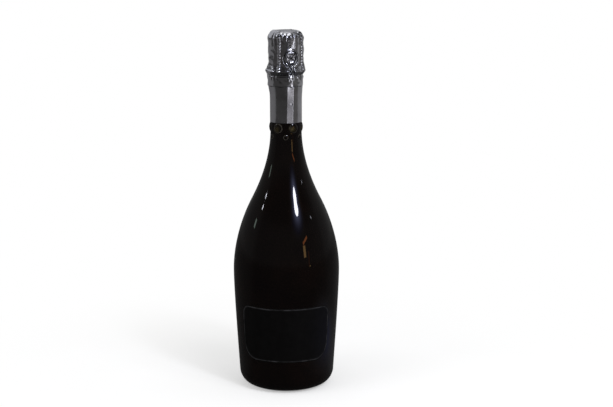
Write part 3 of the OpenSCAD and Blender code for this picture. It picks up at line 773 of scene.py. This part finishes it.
def pressDimple(az, u, z, radius):
    # the foil's radius pressed in behind the key's loop and stem, down to near the cork and the
    # glass, with a rolled lip round it, and the shade along the loop
    d = dimple
    t = alongArc(az, keyAz, hood["wallRadius"])
    up = z - d["height"]
    besideStem = np.abs(t) - d["stemWidth"]
    loopAway = np.hypot(t, up) - d["radius"]
    stemAway = np.maximum(besideStem, np.maximum(up, d["slitFoot"] - z))
    pressed = 1 - smooth(np.minimum(loopAway, stemAway) / d["wall"])
    crumple = bowls(u, z, d["crumpleSize"], hoodRound, seed=15)
    crumple = crumple + d["fineCrumple"] * bowls(u, z, d["fineSize"], hoodRound, seed=16)
    # inside the loop the foil is a bowl, which stays flat under the stem
    hollow = (1 + loopAway / d["radius"]) ** 2 * (loopAway < 0)
    hollow *= smooth(np.maximum(besideStem, up) / d["bowlEdge"])
    deepest = innerLimit(z) + d["bowl"] * hollow
    deepest = deepest + d["crumple"] * crumple * rising(-loopAway, *d["crumpleStart"])
    radius = radius * (1 - pressed) + deepest * pressed
    radius = radius + d["lip"] * hump(loopAway - d["lipOff"], d["lipWidth"]) * (z > d["lipFoot"])
    return radius, d["shade"] * hump(loopAway - d["shadeOff"], d["shadeWidth"]) * (up > -d["shadeDrop"])


def makeHood():
    # the smooth hood, moved along its own normal by ridges, pleats, gathers and dents, with the
    # key's dimple pressed in, a slit for the key's stem and a torn lower edge
    h = hood
    az = allRound(h["columns"])
    r, z = hoodPoints(az)
    wayR, wayZ = np.gradient(r, axis=0), np.gradient(z, axis=0)
    size = np.hypot(wayR, wayZ)
    u = np.radians(az) * h["wallRadius"] + 0 * z
    # length of the section below each point, so that patterns run on over the rim
    v = np.cumsum(size, axis=0) + h["foot"]
    lift = legRidges(az, z, v) + pleats(az, u, v, z, r) + gathers(az, u, z) + dents(u, v, z, r)
    radius, dark = pressDimple(az, u, z, r + wayZ / size * lift)
    height = z - wayR / size * lift * rising(z, *h["rimStart"]) + tornEdge(az, z - h["foot"])
    # the faces' middles lie half a column and half a row on from the points
    t = alongArc(az + 180 / h["columns"], keyAz, h["wallRadius"])
    middle = (z[:-1] + z[1:]) / 2
    slit = (np.abs(t) < dimple["slitWidth"]) & (middle > dimple["slitFoot"]) & (middle < dimple["slitTop"])
    piece = surface("foilHood", roundAxis(radius, az, np.minimum(height, h["top"])), closedU=True,
                    keep=~slit, values={"dark": dark})
    thicken(piece, h["thickness"])
    return dress(piece, "hood", ["foil_hood"], crumpledFoil)


topDisc = {
    "top": nodeTop("foil_top_disc"), "foot": nodeFoot("foil_top_disc"), "radius": nodeRadius("foil_top_disc"),
    "columns": 180, "rings": 30, "innerRing": 0.8,
    "wave": 0.05, "waveSize": 6.0, "waveRound": 10.0,  # faint waves, whose turns are 10 mm in radius
    "waveEdge": 1.0, "waveMiddle": 2.0,
}


def makeTopDisc():
    # stamped disc glued over the hood's top: both faces follow the dome's height at their radius,
    # a thickness apart, with faint waves that die out at the middle and the edge
    d = topDisc
    az = allRound(d["columns"])
    out = np.linspace(d["innerRing"], d["radius"], d["rings"])
    r = np.r_[0, out, out[::-1], 0][:, None]
    lower = np.arange(len(r))[:, None] <= d["rings"]
    u = np.radians(az) * d["waveRound"] + 0 * r
    wave = d["wave"] * (softNoise(u, r, d["waveSize"], 2 * math.pi * d["waveRound"], seed=21) - 1)
    wave = wave * smooth((d["radius"] - r) / d["waveEdge"]) * smooth(r / d["waveMiddle"])
    z = d["top"] - (hood["top"] - rimHeight(r, az)) + wave - (d["top"] - d["foot"]) * lower
    piece = surface("foilTopDisc", roundAxis(r, az, z), closedU=True)
    return dress(piece, "hood", ["foil_top_disc"], flatFoil)


skirt = {
    "top": nodeTop("foil_skirt"), "foot": nodeFoot("foil_skirt"),
    "thickness": 0.13, "clearance": 0.19,  # clearance: least distance of its outer face from the glass
    "columns": 360, "rows": 120,
    "footRadius": 14.2, "topRadius": 15.0, "flareStart": (260.0, 20.0),
    "sag": 1.1, "sagStart": (265.0, 11.0),
    "hug": 6.0,  # the foot hugs the glass over this height
    # the wrap's free edge and the flat facet right of it: azimuth at the foot, lean in degrees per
    # mm, half width in degrees, radius at its middle, and how far its two edges take to fade
    "seamAz": 2.5, "seamLean": 0.09, "facetHalf": 11.0, "facetRadius": 14.12, "facetFades": (0.3, 3.4),
    # azimuth, rise and half width of the upright creases, how far they wander in degrees, and the
    # share of them that is left where the foot hugs the glass
    "creases": ((-36.0, 0.1, 1.4), (-12.0, -0.12, 1.3), (62.0, 0.1, 1.8), (-78.0, 0.1, 2.0),
                (128.0, 0.2, 1.2), (-142.0, 0.22, 1.0), (172.0, -0.2, 0.9)),
    "wander": 1.5, "wanderNoise": (12.0, 1.0), "footShare": 0.35,
    "ripple": 0.05, "rippleNoise": (6.5, 0.2),
    "gather": 0.16, "gatherNoise": (3.6, 0.15), "gatherStart": (264.0, 9.0),
    # a small dent: azimuth and height, size, depth, and how much darker its middle is
    "dent": (21.5, 258.4), "dentSize": 0.6, "dentDepth": 0.3, "dentDarkness": 0.7,
    # dashes of painted shade along the tear line, where its cuts are: how many, half length with 360 to a
    # pitch, distance from the edge, half width and darkness
    "dashes": 9, "dashLength": 60.0, "dashDrop": 0.35, "dashWidth": 0.3, "dashShade": 0.8,
}


def makeSkirt():
    # a straight tube that flares by a smooth step towards the collar, moved outwards by a facet
    # beside its seam, creases, ripples and gathers
    s = skirt
    az = allRound(s["columns"])
    z = np.linspace(s["foot"], s["top"], s["rows"])[:, None]
    neck = glass["neckRadius"]
    around = 2 * math.pi * neck
    u = np.radians(az) * neck + 0 * z
    r = s["footRadius"] + (s["topRadius"] - s["footRadius"]) * rising(z, *s["flareStart"])
    r = r + s["sag"] * sagAt(az) * rising(z, *s["sagStart"])
    free = rising(z, s["foot"], s["hug"])

    # the facet is a chord: its radius grows by one over the cosine away from its middle
    off = turned(az - s["seamAz"] - s["seamLean"] * (z - s["foot"])) - s["facetHalf"]
    nearMiddle = np.radians(np.clip(off, -s["facetHalf"], s["facetHalf"]))
    past = np.radians(np.abs(off) - s["facetHalf"]) * neck
    share = 1 - smooth(past / np.where(off < 0, *s["facetFades"]))
    lift = s["facetRadius"] * (1 / np.cos(nearMiddle) - 1) * share

    wander = s["wander"] * drawnNoise(u, z, s["wanderNoise"], around, seed=31)
    for creaseAz, rise, wide in s["creases"]:
        t = alongArc(az - wander, creaseAz, neck)
        lift = lift + rise * hump(t, wide) * (s["footShare"] + (1 - s["footShare"]) * free)
    lift += s["ripple"] * drawnNoise(u, z, s["rippleNoise"], around, seed=32) * free
    gather = drawnNoise(u, z, s["gatherNoise"], around, seed=34)
    lift += s["gather"] * gather * rising(z, *s["gatherStart"])
    dent = hump(np.hypot(alongArc(az, s["dent"][0], neck), z - s["dent"][1]), s["dentSize"])
    radius = np.maximum(r + lift - s["dentDepth"] * dent, neck + s["clearance"])

    below = s["top"] - z
    dash = hump(turned(az * s["dashes"] - 180), s["dashLength"]) * hump(below - s["dashDrop"], s["dashWidth"])
    # the dark attribute: the dashes' painted shade and the dent's darker middle
    piece = surface("foilSkirt", roundAxis(radius, az, z + tornEdge(az, below)), closedU=True,
                    values={"dark": s["dashShade"] * dash + s["dentDarkness"] * dent})
    thicken(piece, s["thickness"])
    return dress(piece, "bottle", ["foil_skirt"], smoothFoil)


# Labels
labelSheet = {
    "thickness": 0.15, "off": 0.05,  # off: gap to the glass
    "borderIn": 0.5, "borderWidth": 1.1,
    "raisedTo": 1.25, "highlightTo": 1.1,  # where the raised band and the painted highlight end, in half widths of the border
    "columns": 60, "rows": 64, "edgeStrip": 3.0, "edgeLines": 19,
    "grain": 0.02, "grainSize": 9.0, "grainSpan": 400.0, "grainFade": 2.0,
}
frontLabel = {
    "foot": nodeFoot("front_label"), "top": nodeTop("front_label"), "width": 87.0, "az": -1.5,
    "topCorner": 9.0, "lowCorner": 15.0, "borderRise": 0.2,
}
backLabel = {
    "foot": nodeFoot("back_label"), "top": nodeTop("back_label"), "width": 58.0, "az": 180.0,
    "topCorner": 3.0, "lowCorner": 3.0, "borderRise": 0.0,
}


def closeAtEnds(length, count):
    # places along a length, close together in a strip at each end
    strip = np.linspace(0, labelSheet["edgeStrip"], labelSheet["edgeLines"])
    between = np.linspace(strip[-1], length - strip[-1], count)[1:-1]
    return np.concatenate([strip, between, length - strip[::-1]])


def makeLabel(name, label, node, materialName):
    # a sheet on the glass: each row spans the rounded outline at its height and is wound round the
    # side, and the border is a raised band that follows the distance inside the outline
    paper = labelSheet
    half, low, top = label["width"] / 2, label["foot"], label["top"]
    across = closeAtEnds(2 * half, paper["columns"]) / half - 1
    z = (closeAtEnds(top - low, paper["rows"]) + low)[:, None]
    cornerLow, cornerTop = label["lowCorner"], label["topCorner"]
    dropLow = np.clip(low + cornerLow - z, 0, cornerLow)
    dropTop = np.clip(z - top + cornerTop, 0, cornerTop)
    width = (half - cornerLow + np.sqrt(cornerLow ** 2 - dropLow ** 2)) * (dropLow > 0)
    width += (half - cornerTop + np.sqrt(cornerTop ** 2 - dropTop ** 2)) * (dropTop > 0)
    width += half * ((dropLow == 0) & (dropTop == 0))
    s = width * across[None, :]

    middle = (low + top) / 2
    corner = np.where(z < middle, cornerLow, cornerTop)
    qx = np.abs(s) - half + corner
    qz = np.abs(z - middle) - (top - low) / 2 + corner
    inside = corner - np.hypot(np.maximum(qx, 0), np.maximum(qz, 0)) - np.minimum(np.maximum(qx, qz), 0)
    # 0 in the middle of the border, 1 at its edges
    fromBorder = np.abs(inside - paper["borderIn"] - paper["borderWidth"] / 2) / (paper["borderWidth"] / 2)
    raised = smooth(paper["raisedTo"] - fromBorder)
    # grey painted highlight along the crest of the raised border, on the front label alone
    paintedBorderHighlight = smooth(paper["highlightTo"] - fromBorder) * (label["borderRise"] > 0)
    span = paper["grainSpan"]
    grain = paper["grain"] * softNoise(s + span / 2, z, paper["grainSize"], span, seed=41)
    az = label["az"] + np.degrees(s / sideRadius(middle))
    radius = sideRadius(z) + paper["off"] + paper["thickness"]
    radius = radius + label["borderRise"] * raised + grain * smooth(inside / paper["grainFade"])
    piece = surface(name, roundAxis(radius, az, z), values={"border": paintedBorderHighlight})
    thicken(piece, paper["thickness"])
    return dress(piece, "bottle", [node], labelMaterial(materialName))


# Cork
cork = {
    "top": nodeTop("cork_body"), "foot": nodeFoot("cork_body"),
    "shankRadius": 8.85, "footBevel": 0.15,
    "headRadius": 13.2, "headFoot": glass["height"] + 0.05,
    "topRounding": 2.5, "lowRounding": 1.6,
    "step": 0.8, "columns": 160,
    "pressIn": 0.35, "pressWidth": 1.1,  # grooves that the wire legs have left
    "knock": 0.12, "knockSize": 3.5,
    "knockStart": (0.3, 1.2), "knockEnd": (6.0, 3.0),
}
corkDisc = {"bevel": 0.2, "step": 0.9, "columns": 96}


def makeCork():
    # a mushroom's section turned round the axis; its head is pressed in under the legs, by a bell
    # for each, and knocked in by soft noise
    c = cork
    radius, bevel, head = c["shankRadius"], c["footBevel"], c["headRadius"]
    line = finer(np.concatenate([
        [(0, c["foot"]), (radius - bevel, c["foot"]), (radius, c["foot"] + bevel), (radius, c["headFoot"])],
        arc((head - c["lowRounding"], c["headFoot"] + c["lowRounding"]), c["lowRounding"], -90, 0, 10),
        arc((head - c["topRounding"], c["top"] - c["topRounding"]), c["topRounding"], 0, 90, 12),
        [(0, c["top"])]]), c["step"])
    r, z = line[:, :1], line[:, 1:]
    az = allRound(c["columns"])
    u = np.radians(az) * head + 0 * z
    lift = -c["knock"] * (0.5 + 0.5 * softNoise(u, z, c["knockSize"], 2 * math.pi * head, seed=51))
    lift -= c["pressIn"] * sum(hump(t, c["pressWidth"]) for t in fromLegs(az, head))
    lift *= rising(z - c["headFoot"], *c["knockStart"]) * rising(r, *c["knockEnd"])
    piece = surface("corkBody", roundAxis(r + lift, az, z), closedU=True)
    granules = corkMaterial("pressedCorkGranules", 1.7, "#7d5530", "#b98d5c", "#d3ad7e")
    return dress(piece, "cork", ["cork_body"], granules)


def makeCorkDisc(name, node):
    # a bevelled disc's section turned round the axis
    low, high = nodeFoot(node), nodeTop(node)
    radius, bevel = cork["shankRadius"], corkDisc["bevel"]
    line = np.array([(0, low), (radius - bevel, low), (radius, low + bevel),
                     (radius, high - bevel), (radius - bevel, high), (0, high)])
    piece = turnedPiece(name, finer(line, corkDisc["step"]), corkDisc["columns"])
    bark = corkMaterial("cutNaturalCork", 3.2, "#8d6337", "#c29a68", "#dab889")
    return dress(piece, "cork", [node], bark)


# Wire cage
cage = {
    "wireRadius": 0.475, "clearance": 0.05,  # clearance: between the two wires of a twisted pair
    "lay": 5.0, "stepsPerHalf": 8,  # length of a full twist, and points in half of one
    "crownRadius": 10.9, "bendRadius": 2.0, "legRadius": 14.375, "footRadius": 15.8,
    "beltRadius": 14.8, "hookTurn": 56.0, "hookPoints": 6,
    "stemHeight": 7.0, "loopHeight": 11.0, "loopWidth": 10.0, "loopPoints": 55,
    "swell": 0.7, "swellPower": 1.5,  # swell: about the most that the loop's formula reaches
    "ringPoints": 160,
}
pairOff = cage["wireRadius"] + cage["clearance"] / 2
hookRadius = 2 * cage["wireRadius"] + cage["clearance"]


def strand(line, side):
    # one wire of a twisted pair: it circles the line at pairOff, by as many half turns as there are
    # half lays in its length, and ends beside the line
    length = np.r_[0, np.cumsum(np.linalg.norm(np.diff(line, axis=0), axis=1))]
    total = length[-1]
    halves = math.floor(2 * total / cage["lay"])
    d = np.linspace(0, total, halves * cage["stepsPerHalf"] + 1)
    step = total / len(d)
    at = lambda s: np.stack([np.interp(s, length, line[:, 0]), np.interp(s, length, line[:, 1])], -1)
    p = at(d)
    way = at(np.minimum(d + step, total)) - at(np.maximum(d - step, 0))
    way /= np.linalg.norm(way, axis=1, keepdims=True)
    turn = np.pi / 2 + np.pi * halves * (1 - d / total)
    out = side * pairOff * np.cos(turn)
    return np.stack([p[:, 0] + out * way[:, 1], side * pairOff * np.sin(turn), p[:, 1] - out * way[:, 0]], -1)


def hook(side):
    # end of a leg's wire, bent round the belt: a circle about the belt's wire
    a = np.radians(-cage["hookTurn"] * np.linspace(0, 1, cage["hookPoints"] + 1)[1:])
    return np.stack([cage["beltRadius"] + hookRadius * np.cos(a), side * pairOff + 0 * a,
                     beltHeight + hookRadius * np.sin(a)], -1)


def standing(path, az):
    # points (radius, across, height) turned to their azimuth
    a = math.radians(az)
    return np.stack([path[:, 0] * math.sin(a) + path[:, 1] * math.cos(a),
                     -path[:, 0] * math.cos(a) + path[:, 1] * math.sin(a), path[:, 2]], -1)


def wirePiece(name, path, az, body, node, material):
    # a wire along a path that is drawn in the plane of its azimuth
    a = math.radians(az)
    outward, across = np.array([math.sin(a), -math.cos(a), 0]), np.array([math.cos(a), math.sin(a), 0])
    # the reference leans out of the plane, so that it is nowhere along the wire
    piece = tube(name, standing(path, az), cage["wireRadius"], across + 0.35 * outward)
    return dress(piece, body, [node], material)


def makeLegs(wire):
    # each leg is one wire: down its line as half of a pair, round the belt and up again
    c = cage
    height = nodeTop("cage_leg_1") - c["wireRadius"] - pairOff
    line = np.concatenate([
        [(c["crownRadius"] + 2 * c["wireRadius"], height)],
        arc((c["legRadius"] - c["bendRadius"], height - c["bendRadius"]), c["bendRadius"], 90, 0, 14),
        [(c["legRadius"], beadFoot), (c["footRadius"], collarTop),
         (c["footRadius"], collarFoot + mouth["rounding"] / 2)]])
    a = math.radians(c["hookTurn"])
    tip = [[c["beltRadius"] + hookRadius * math.cos(a) - pairOff * math.sin(a) / 2, 0,
            beltHeight - hookRadius * math.sin(a) - pairOff * math.cos(a) / 2]]
    path = np.concatenate([strand(line, 1), hook(1), tip, hook(-1)[::-1], strand(line, -1)[::-1]])
    for k in range(hood["legCount"]):
        wirePiece(f"cageLeg{k + 1}", path, legAzimuth(k), "cage", f"cage_leg_{k + 1}", wire)


def makeRings(wire):
    # crown and belt: circles round the axis
    crownHeight = (nodeFoot("cage_crown") + nodeTop("cage_crown")) / 2
    for name, node, radius, height in (("cageCrown", "cage_crown", cage["crownRadius"], crownHeight),
                                       ("cageBelt", "cage_belt", cage["beltRadius"], beltHeight)):
        path = roundAxis(radius, allRound(cage["ringPoints"])[0], height)
        piece = tube(name, path, cage["wireRadius"], np.array([0, 0, 1.0]), closed=True)
        dress(piece, "cage", [node], wire)


def makeKey(wire):
    # one wire: up the twisted stem, round a loop shaped like a drop and down again. The loop's half
    # width follows sin(t) * sin(t / 2) ^ 1.5, and its height follows the cosine of t
    c = cage
    stemTop = beltHeight + c["stemHeight"]
    loopFoot = (c["footRadius"] + c["legRadius"]) / 2
    line = np.array([(c["footRadius"], beltHeight), (c["footRadius"], collarTop), (loopFoot, stemTop)])
    turns = np.linspace(0, 2 * np.pi, c["loopPoints"] + 2)[1:-1]
    half = np.minimum(turns, 2 * np.pi - turns)
    swell = np.sin(half) * np.sin(half / 2) ** c["swellPower"] / c["swell"]
    side = np.sign(c["loopPoints"] // 2 - np.arange(c["loopPoints"]))
    across = side * (pairOff + (c["loopWidth"] / 2 - pairOff) * swell)
    up = (1 - np.cos(half)) / 2
    loop = np.stack([loopFoot + (c["legRadius"] - loopFoot) * up, across, stemTop + c["loopHeight"] * up], -1)
    path = np.concatenate([strand(line, 1), loop, strand(line, -1)[::-1]])
    wirePiece("cageKey", path, keyAz, "key", "cage_key", wire)


cap = {
    "foot": nodeFoot("cage_cap"), "top": nodeTop("cage_cap"), "radius": nodeRadius("cage_cap"),
    "sheet": 0.3, "rise": 1.7,
    "slopeStart": (7.7, 2.0),
    "ring": 0.1, "ringRadius": 6.4, "ringWidth": 0.4,  # pressed ring
    "rollRadius": 0.3, "rollStart": 0.35, "rollTurn": 75,
    "flatRings": (0.0, 7.2, 12), "slopeRings": (7.5, 10.0, 14), "brimRings": 8,  # from, to, how many
    "columns": 128,
}


def makeCap():
    # pressed cap, turned round the axis: height falls from the raised middle to the brim by a
    # smooth step, and a rolled edge turns under the rim
    c = cap
    brim = c["top"] - c["rise"]
    r = np.concatenate([np.linspace(*c["flatRings"]), np.linspace(*c["slopeRings"])[:-1],
                        np.linspace(c["slopeRings"][1], c["radius"] - c["rollStart"], c["brimRings"])])
    z = brim + c["rise"] * (1 - rising(r, *c["slopeStart"]))
    z = z - c["ring"] * hump(r - c["ringRadius"], c["ringWidth"])
    upper = np.stack([r, z], -1)
    middle = (c["radius"] - c["rollRadius"], brim - c["sheet"] / 2)
    roll = arc(middle, c["rollRadius"], c["rollTurn"], -c["rollTurn"], 7)
    line = np.concatenate([upper, roll, (upper - [0, c["sheet"]])[::-1]])
    line[:, 1] = np.maximum(line[:, 1], c["foot"])
    line[0, 0] = line[-1, 0] = 0
    piece = turnedPiece("cageCap", line[::-1], c["columns"])
    return dress(piece, "cage", ["cage_cap"], capMaterial())


# Studio
studio = {
    "cameraPlace": (0.0, -1.300, 0.442), "pitchDown": 11.97, "yawRight": 0.803,
    "lens": 86.74, "sensorWidth": 36,  # in mm; other lengths here are in metres
    "worldLevel": 0.42,
    "bodyAim": 0.17, "foilAim": 0.28,  # heights that the lamps' directions are given from
}
floor = {
    "edges": (9.0, 1.5, 0.5, 0.0), "columns": 96,
    "lift": 0.42,
    "whiteFrom": (0.08, 0.36),  # distances in metres over which the floor turns to plain white
}
# azimuth and height of what lights it, width and height in degrees, distance in metres,
# brightness, hex colour, and what it lights: all, gloss alone, matt alone, or gloss on the
# foil or the glass alone
lamps = {
    "softKey": ((38, 42), (30, 30), 1.6, 2.0, "#ffffff", "matt"),
    "softFill": ((-62, 30), (30, 30), 1.6, 1.2, "#ffffff", "matt"),
    "mainSoftbox": ((34.6, 36.3), (9, 10), 1.2, 22.0, "#f4f6ff", "all"),
    "warmStrip": ((52.2, -9.5), (2.4, 9), 1.2, 2.4, "#ffd08a", "glass"),
    "dimStrip": ((50, 0), (1.8, 11), 1.2, 0.35, "#d8722e", "glass"),
    "warmPatch": ((41.3, 6), (5.2, 8.5), 1.2, 1.8, "#ffcb84", "glass"),
    "orangePatch": ((45.3, 13.3), (12, 2), 1.2, 2.0, "#ff9759", "glass"),
    "leftSpot": ((-83.5, 26.4), (1.6, 2.2), 1.2, 24.0, "#f2f4ff", "gloss"),
    "leftPatch": ((-91, 14.8), (4.2, 5), 1.2, 3.0, "#b4c8bc", "glass"),
    "rightSpot": ((76, 22.6), (1.0, 1.6), 1.2, 10.0, "#eef0ff", "gloss"),
    "foilPanel": ((31, -20), (34, 18), 0.5, 0.62, "#fcf9ff", "foil"),
    "foilGlint": ((41, 2), (7, 34), 0.5, 2.8, "#f8f8ff", "foil"),
    "foilFront": ((-35, -8), (90, 56), 0.6, 0.032, "#fffaf4", "foil"),
    "foilSide": ((72, -8), (34, 56), 0.6, 0.1, "#fffaf4", "foil"),
    "foilLeft": ((-126, -13), (80, 30), 0.5, 0.18, "#fdfcff", "foil"),
    "foilRight": ((130, -13), (76, 30), 0.5, 0.28, "#fdfcff", "foil"),
    "foilTop": ((-12, 71), (44, 28), 0.8, 1.7, "#f8faff", "foil"),
    "foilUpLeft": ((-135, 34), (80, 40), 0.6, 0.65, "#f6f8ff", "foil"),
    "foilUpRight": ((135, 36), (80, 36), 0.6, 0.45, "#f6f8ff", "foil"),
}
lampTilt = {"orangePatch": 17.0}  # degrees that a lamp is turned in its own plane
room = {
    "columns": 240, "step": 0.04,
    # sizes in metres: the cloth from just under the bottle to the wall's sweep, then the wall and roof
    "cloth": (0.036, 1.0), "clothHeight": 0.0006, "clothRings": 60, "sweep": 0.4,
    "wall": ((1.4, 0.6), (1.45, 0.9), (1.5, 1.3)), "roof": (1.0, 1.8, 0.5),
    # azimuths and the wall's brightness there
    "bands": ((-180, 0.2), (-152, 0.12), (-138, 0.09), (-84, 0.08), (-70, 0.05), (0, 0.05), (58, 0.05),
              (88, 0.07), (98, 0.1), (150, 0.14)),
    "clothShare": 0.5, "wallFull": 0.15,  # share of that on the cloth, and height where the wall has all
    "upperShare": 0.5, "upperStart": (0.62, 0.5),
    "streak": ((0.175, -0.02), 0.075, 0.26),  # blue patch on the cloth: its place, size and brightness
    "clothTop": 0.01,
    # soft glow round the main softbox: middle, half widths in degrees, brightness
    "glows": (((34.6, 36.5), (9, 8), 2.4), ((33, 34), (12, 10), 0.3)),
    "glowTint": 4.0,  # how soon a glow turns blue
    "blueGlow": "#b9c2f6",
}


def roomLine():
    # section of the room in mm: a level cloth, a quarter circle up, the wall and the roof's curve
    inner, outer = room["cloth"]
    roofX, roofZ, roofRadius = room["roof"]
    cloth = np.geomspace(inner, outer, room["clothRings"])
    line = np.concatenate([np.stack([cloth, 0 * cloth + room["clothHeight"]], -1),
                           arc((outer, room["sweep"]), room["sweep"], -90, 0, 16), room["wall"],
                           arc((roofX, roofZ), roofRadius, 0, 80, 10)])
    return finer(line / mm, room["step"] / mm)


def makeRoom():
    # dim room that only gloss sees: a floor cloth that curves up into a round wall. Its brightness
    # follows the azimuth, so that metal and glass carry soft upright bands; the cloth is darker.
    line = roomLine()
    az = allRound(room["columns"], -180)
    points = roundAxis(line[:, :1], az, line[:, 1:])
    out, z = line[:, :1] * mm, line[:, 1:] * mm
    azimuths, levels = np.array(room["bands"]).T
    level = np.interp(az, azimuths, levels, period=360)
    level = level * (room["clothShare"] + (1 - room["clothShare"]) * smooth(z / room["wallFull"]))
    level = level * (1 - room["upperShare"] * rising(z, *room["upperStart"]))
    place, size, bright = room["streak"]
    blue = hump(np.linalg.norm(points[..., :2] * mm - place, axis=-1), size) * (z < room["clothTop"])
    level = level + bright * blue
    # heights as angles, seen from the bottle
    up = np.degrees(np.arctan2(z - studio["bodyAim"], out)) + 0 * az
    for (glowAz, glowUp), (wide, tall), bright in room["glows"]:
        glow = hump(turned(az - glowAz), wide) * hump(up - glowUp, tall)
        level = level + bright * glow
        blue = np.maximum(blue, smooth(glow * room["glowTint"]))
    bowl = surface("roomBowl", points, closedU=True, values={"level": level, "blue": blue})
    material = bpy.data.materials.new("dimRoomWall")
    tree = emptyTree(material)
    cool = addNode(tree, "ShaderNodeAttribute", attribute_name="blue").outputs["Fac"]
    tint = addNode(tree, "ShaderNodeValToRGB", {"Fac": cool},
                   stops=((0.0, "#ffffff"), (0.6, room["blueGlow"])))
    strength = addNode(tree, "ShaderNodeAttribute", attribute_name="level").outputs["Fac"]
    light = addNode(tree, "ShaderNodeEmission", {"Color": tint, "Strength": strength})
    addNode(tree, "ShaderNodeOutputMaterial", {"Surface": light})
    bowl.data.materials.append(material)
    for ray in ("camera", "diffuse", "transmission", "shadow", "volume_scatter"):
        setattr(bowl, "visible_" + ray, False)


def seenByEye(tree):
    # 1 for rays from the camera, off gloss and through glass, 0 for the rest
    rays = addNode(tree, "ShaderNodeLightPath").outputs
    bounced = addNode(tree, "ShaderNodeMath", {0: rays["Is Glossy Ray"], 1: rays["Is Transmission Ray"]},
                      operation="ADD")
    return addNode(tree, "ShaderNodeMath", {0: rays["Is Camera Ray"], 1: bounced}, operation="ADD",
                   use_clamp=True)


def makeFloor():
    # pale painted floor that keeps the bottle's shadow and turns to plain white away from it
    line = np.array([(edge, 0) for edge in floor["edges"]]) / mm
    ground = turnedPiece("paleFloor", line, floor["columns"])
    material = bpy.data.materials.new("paintedStudioFloor")
    tree = emptyTree(material)
    place = addNode(tree, "ShaderNodeTexCoord").outputs["Object"]
    cloud = addNode(tree, "ShaderNodeTexNoise", {"Vector": place, "Scale": perMetre(120), "Detail": 3.0})
    paint = addNode(tree, "ShaderNodeValToRGB", {"Fac": cloud}, stops=((0.3, "#f3f3f2"), (0.7, "#f7f7f7")))
    matt = addNode(tree, "ShaderNodeBsdfDiffuse", {"Color": paint})
    eye = seenByEye(tree)
    liftShare = addNode(tree, "ShaderNodeMath", {0: eye, 1: floor["lift"]}, operation="MULTIPLY")
    lift = addNode(tree, "ShaderNodeEmission", {"Color": linear("#ffffff"), "Strength": liftShare})
    near = addNode(tree, "ShaderNodeAddShader", {0: matt, 1: lift})
    away = addNode(tree, "ShaderNodeVectorMath", {0: place}, operation="LENGTH").outputs["Value"]
    start, end = floor["whiteFrom"]
    farShare = addNode(tree, "ShaderNodeMapRange", {"Value": away, "From Min": start, "From Max": end},
                       interpolation_type="SMOOTHSTEP")
    whiteShare = addNode(tree, "ShaderNodeMath", {0: eye, 1: farShare}, operation="MULTIPLY")
    white = addNode(tree, "ShaderNodeEmission", {"Color": linear("#ffffff"), "Strength": 1.0})
    mixed = addNode(tree, "ShaderNodeMixShader", {0: whiteShare, 1: near, 2: white})
    addNode(tree, "ShaderNodeOutputMaterial", {"Surface": mixed})
    ground.data.materials.append(material)


def makeLamps(pieces):
    # pieces are the objects that the lamps for one finish alone light
    receivers = {finish: bpy.data.collections.new(finish + "Only") for finish in pieces}
    for finish, members in pieces.items():
        for piece in members:
            receivers[finish].objects.link(piece)
    for name, ((az, up), (wide, tall), far, bright, colour, lights) in lamps.items():
        aim = Vector((0, 0, studio["foilAim" if lights == "foil" else "bodyAim"]))
        a, e = math.radians(az), math.radians(up)
        place = aim + far * Vector((math.sin(a) * math.cos(e), -math.cos(a) * math.cos(e), math.sin(e)))
        data = bpy.data.lights.new(name, "AREA")
        data.shape = "ELLIPSE" if lights == "all" else "RECTANGLE"
        data.size, data.size_y = (2 * far * math.tan(math.radians(angle / 2)) for angle in (wide, tall))
        # a panel's brightness as seen is its energy over pi times its area
        data.energy = bright * math.pi * data.size * data.size_y
        data.color = linear(colour)[:3]
        lamp = bpy.data.objects.new(name, data)
        lamp.location = place
        tilt = Quaternion((0, 0, 1), math.radians(lampTilt.get(name, 0)))
        lamp.rotation_euler = ((aim - place).to_track_quat("-Z", "Y") @ tilt).to_euler()
        lamp.visible_camera = False
        lamp.visible_glossy = lights != "matt"
        lamp.visible_diffuse = lights in ("all", "matt")
        if lights in receivers:
            lamp.light_linking.receiver_collection = receivers[lights]
        bpy.context.scene.collection.objects.link(lamp)


def makeStudio():
    # even pale world, which the eye sees as white, and the photograph's point of view
    scene = bpy.context.scene
    scene.world = bpy.data.worlds.new("paleStudio")
    tree = emptyTree(scene.world)
    white = linear("#ffffff")
    light = addNode(tree, "ShaderNodeBackground", {"Color": white, "Strength": studio["worldLevel"]})
    shown = addNode(tree, "ShaderNodeBackground", {"Color": white, "Strength": 1.0})
    mixed = addNode(tree, "ShaderNodeMixShader", {0: seenByEye(tree), 1: light, 2: shown})
    addNode(tree, "ShaderNodeOutputWorld", {"Surface": mixed})
    data = bpy.data.cameras.new("photoView")
    data.lens = studio["lens"]
    data.sensor_width = studio["sensorWidth"]
    camera = bpy.data.objects.new("photoView", data)
    camera.location = studio["cameraPlace"]
    camera.rotation_euler = (math.radians(90 - studio["pitchDown"]), 0, math.radians(-studio["yawRight"]))
    scene.collection.objects.link(camera)
    scene.camera = camera
    scene.view_settings.view_transform = "Standard"


makeStudio()
makeFloor()
makeRoom()
print("studio is set")
glassPieces = [makeGlass()]
print("glass is made")
foilPieces = [makeHood(), makeTopDisc(), makeSkirt()]
print("foil is made")
makeLamps({"foil": foilPieces, "glass": glassPieces})
makeLabel("frontLabelPaper", frontLabel, "front_label", "mattBlackLabelPaper")
makeLabel("backLabelPaper", backLabel, "back_label", "mattBlackBackPaper")
print("labels are made")
makeCork()
makeCorkDisc("corkDiscUpper", "cork_disc_upper")
makeCorkDisc("corkDiscLower", "cork_disc_lower")
print("cork is made")
galvanisedWire = wireMaterial()
makeLegs(galvanisedWire)
makeRings(galvanisedWire)
makeKey(galvanisedWire)
makeCap()
print("cage is made")
wineNode = frame["nodes"]["wine"]
wineNode.data.materials.clear()
wineNode.data.materials.append(wineMaterial())
print("wine is poured")
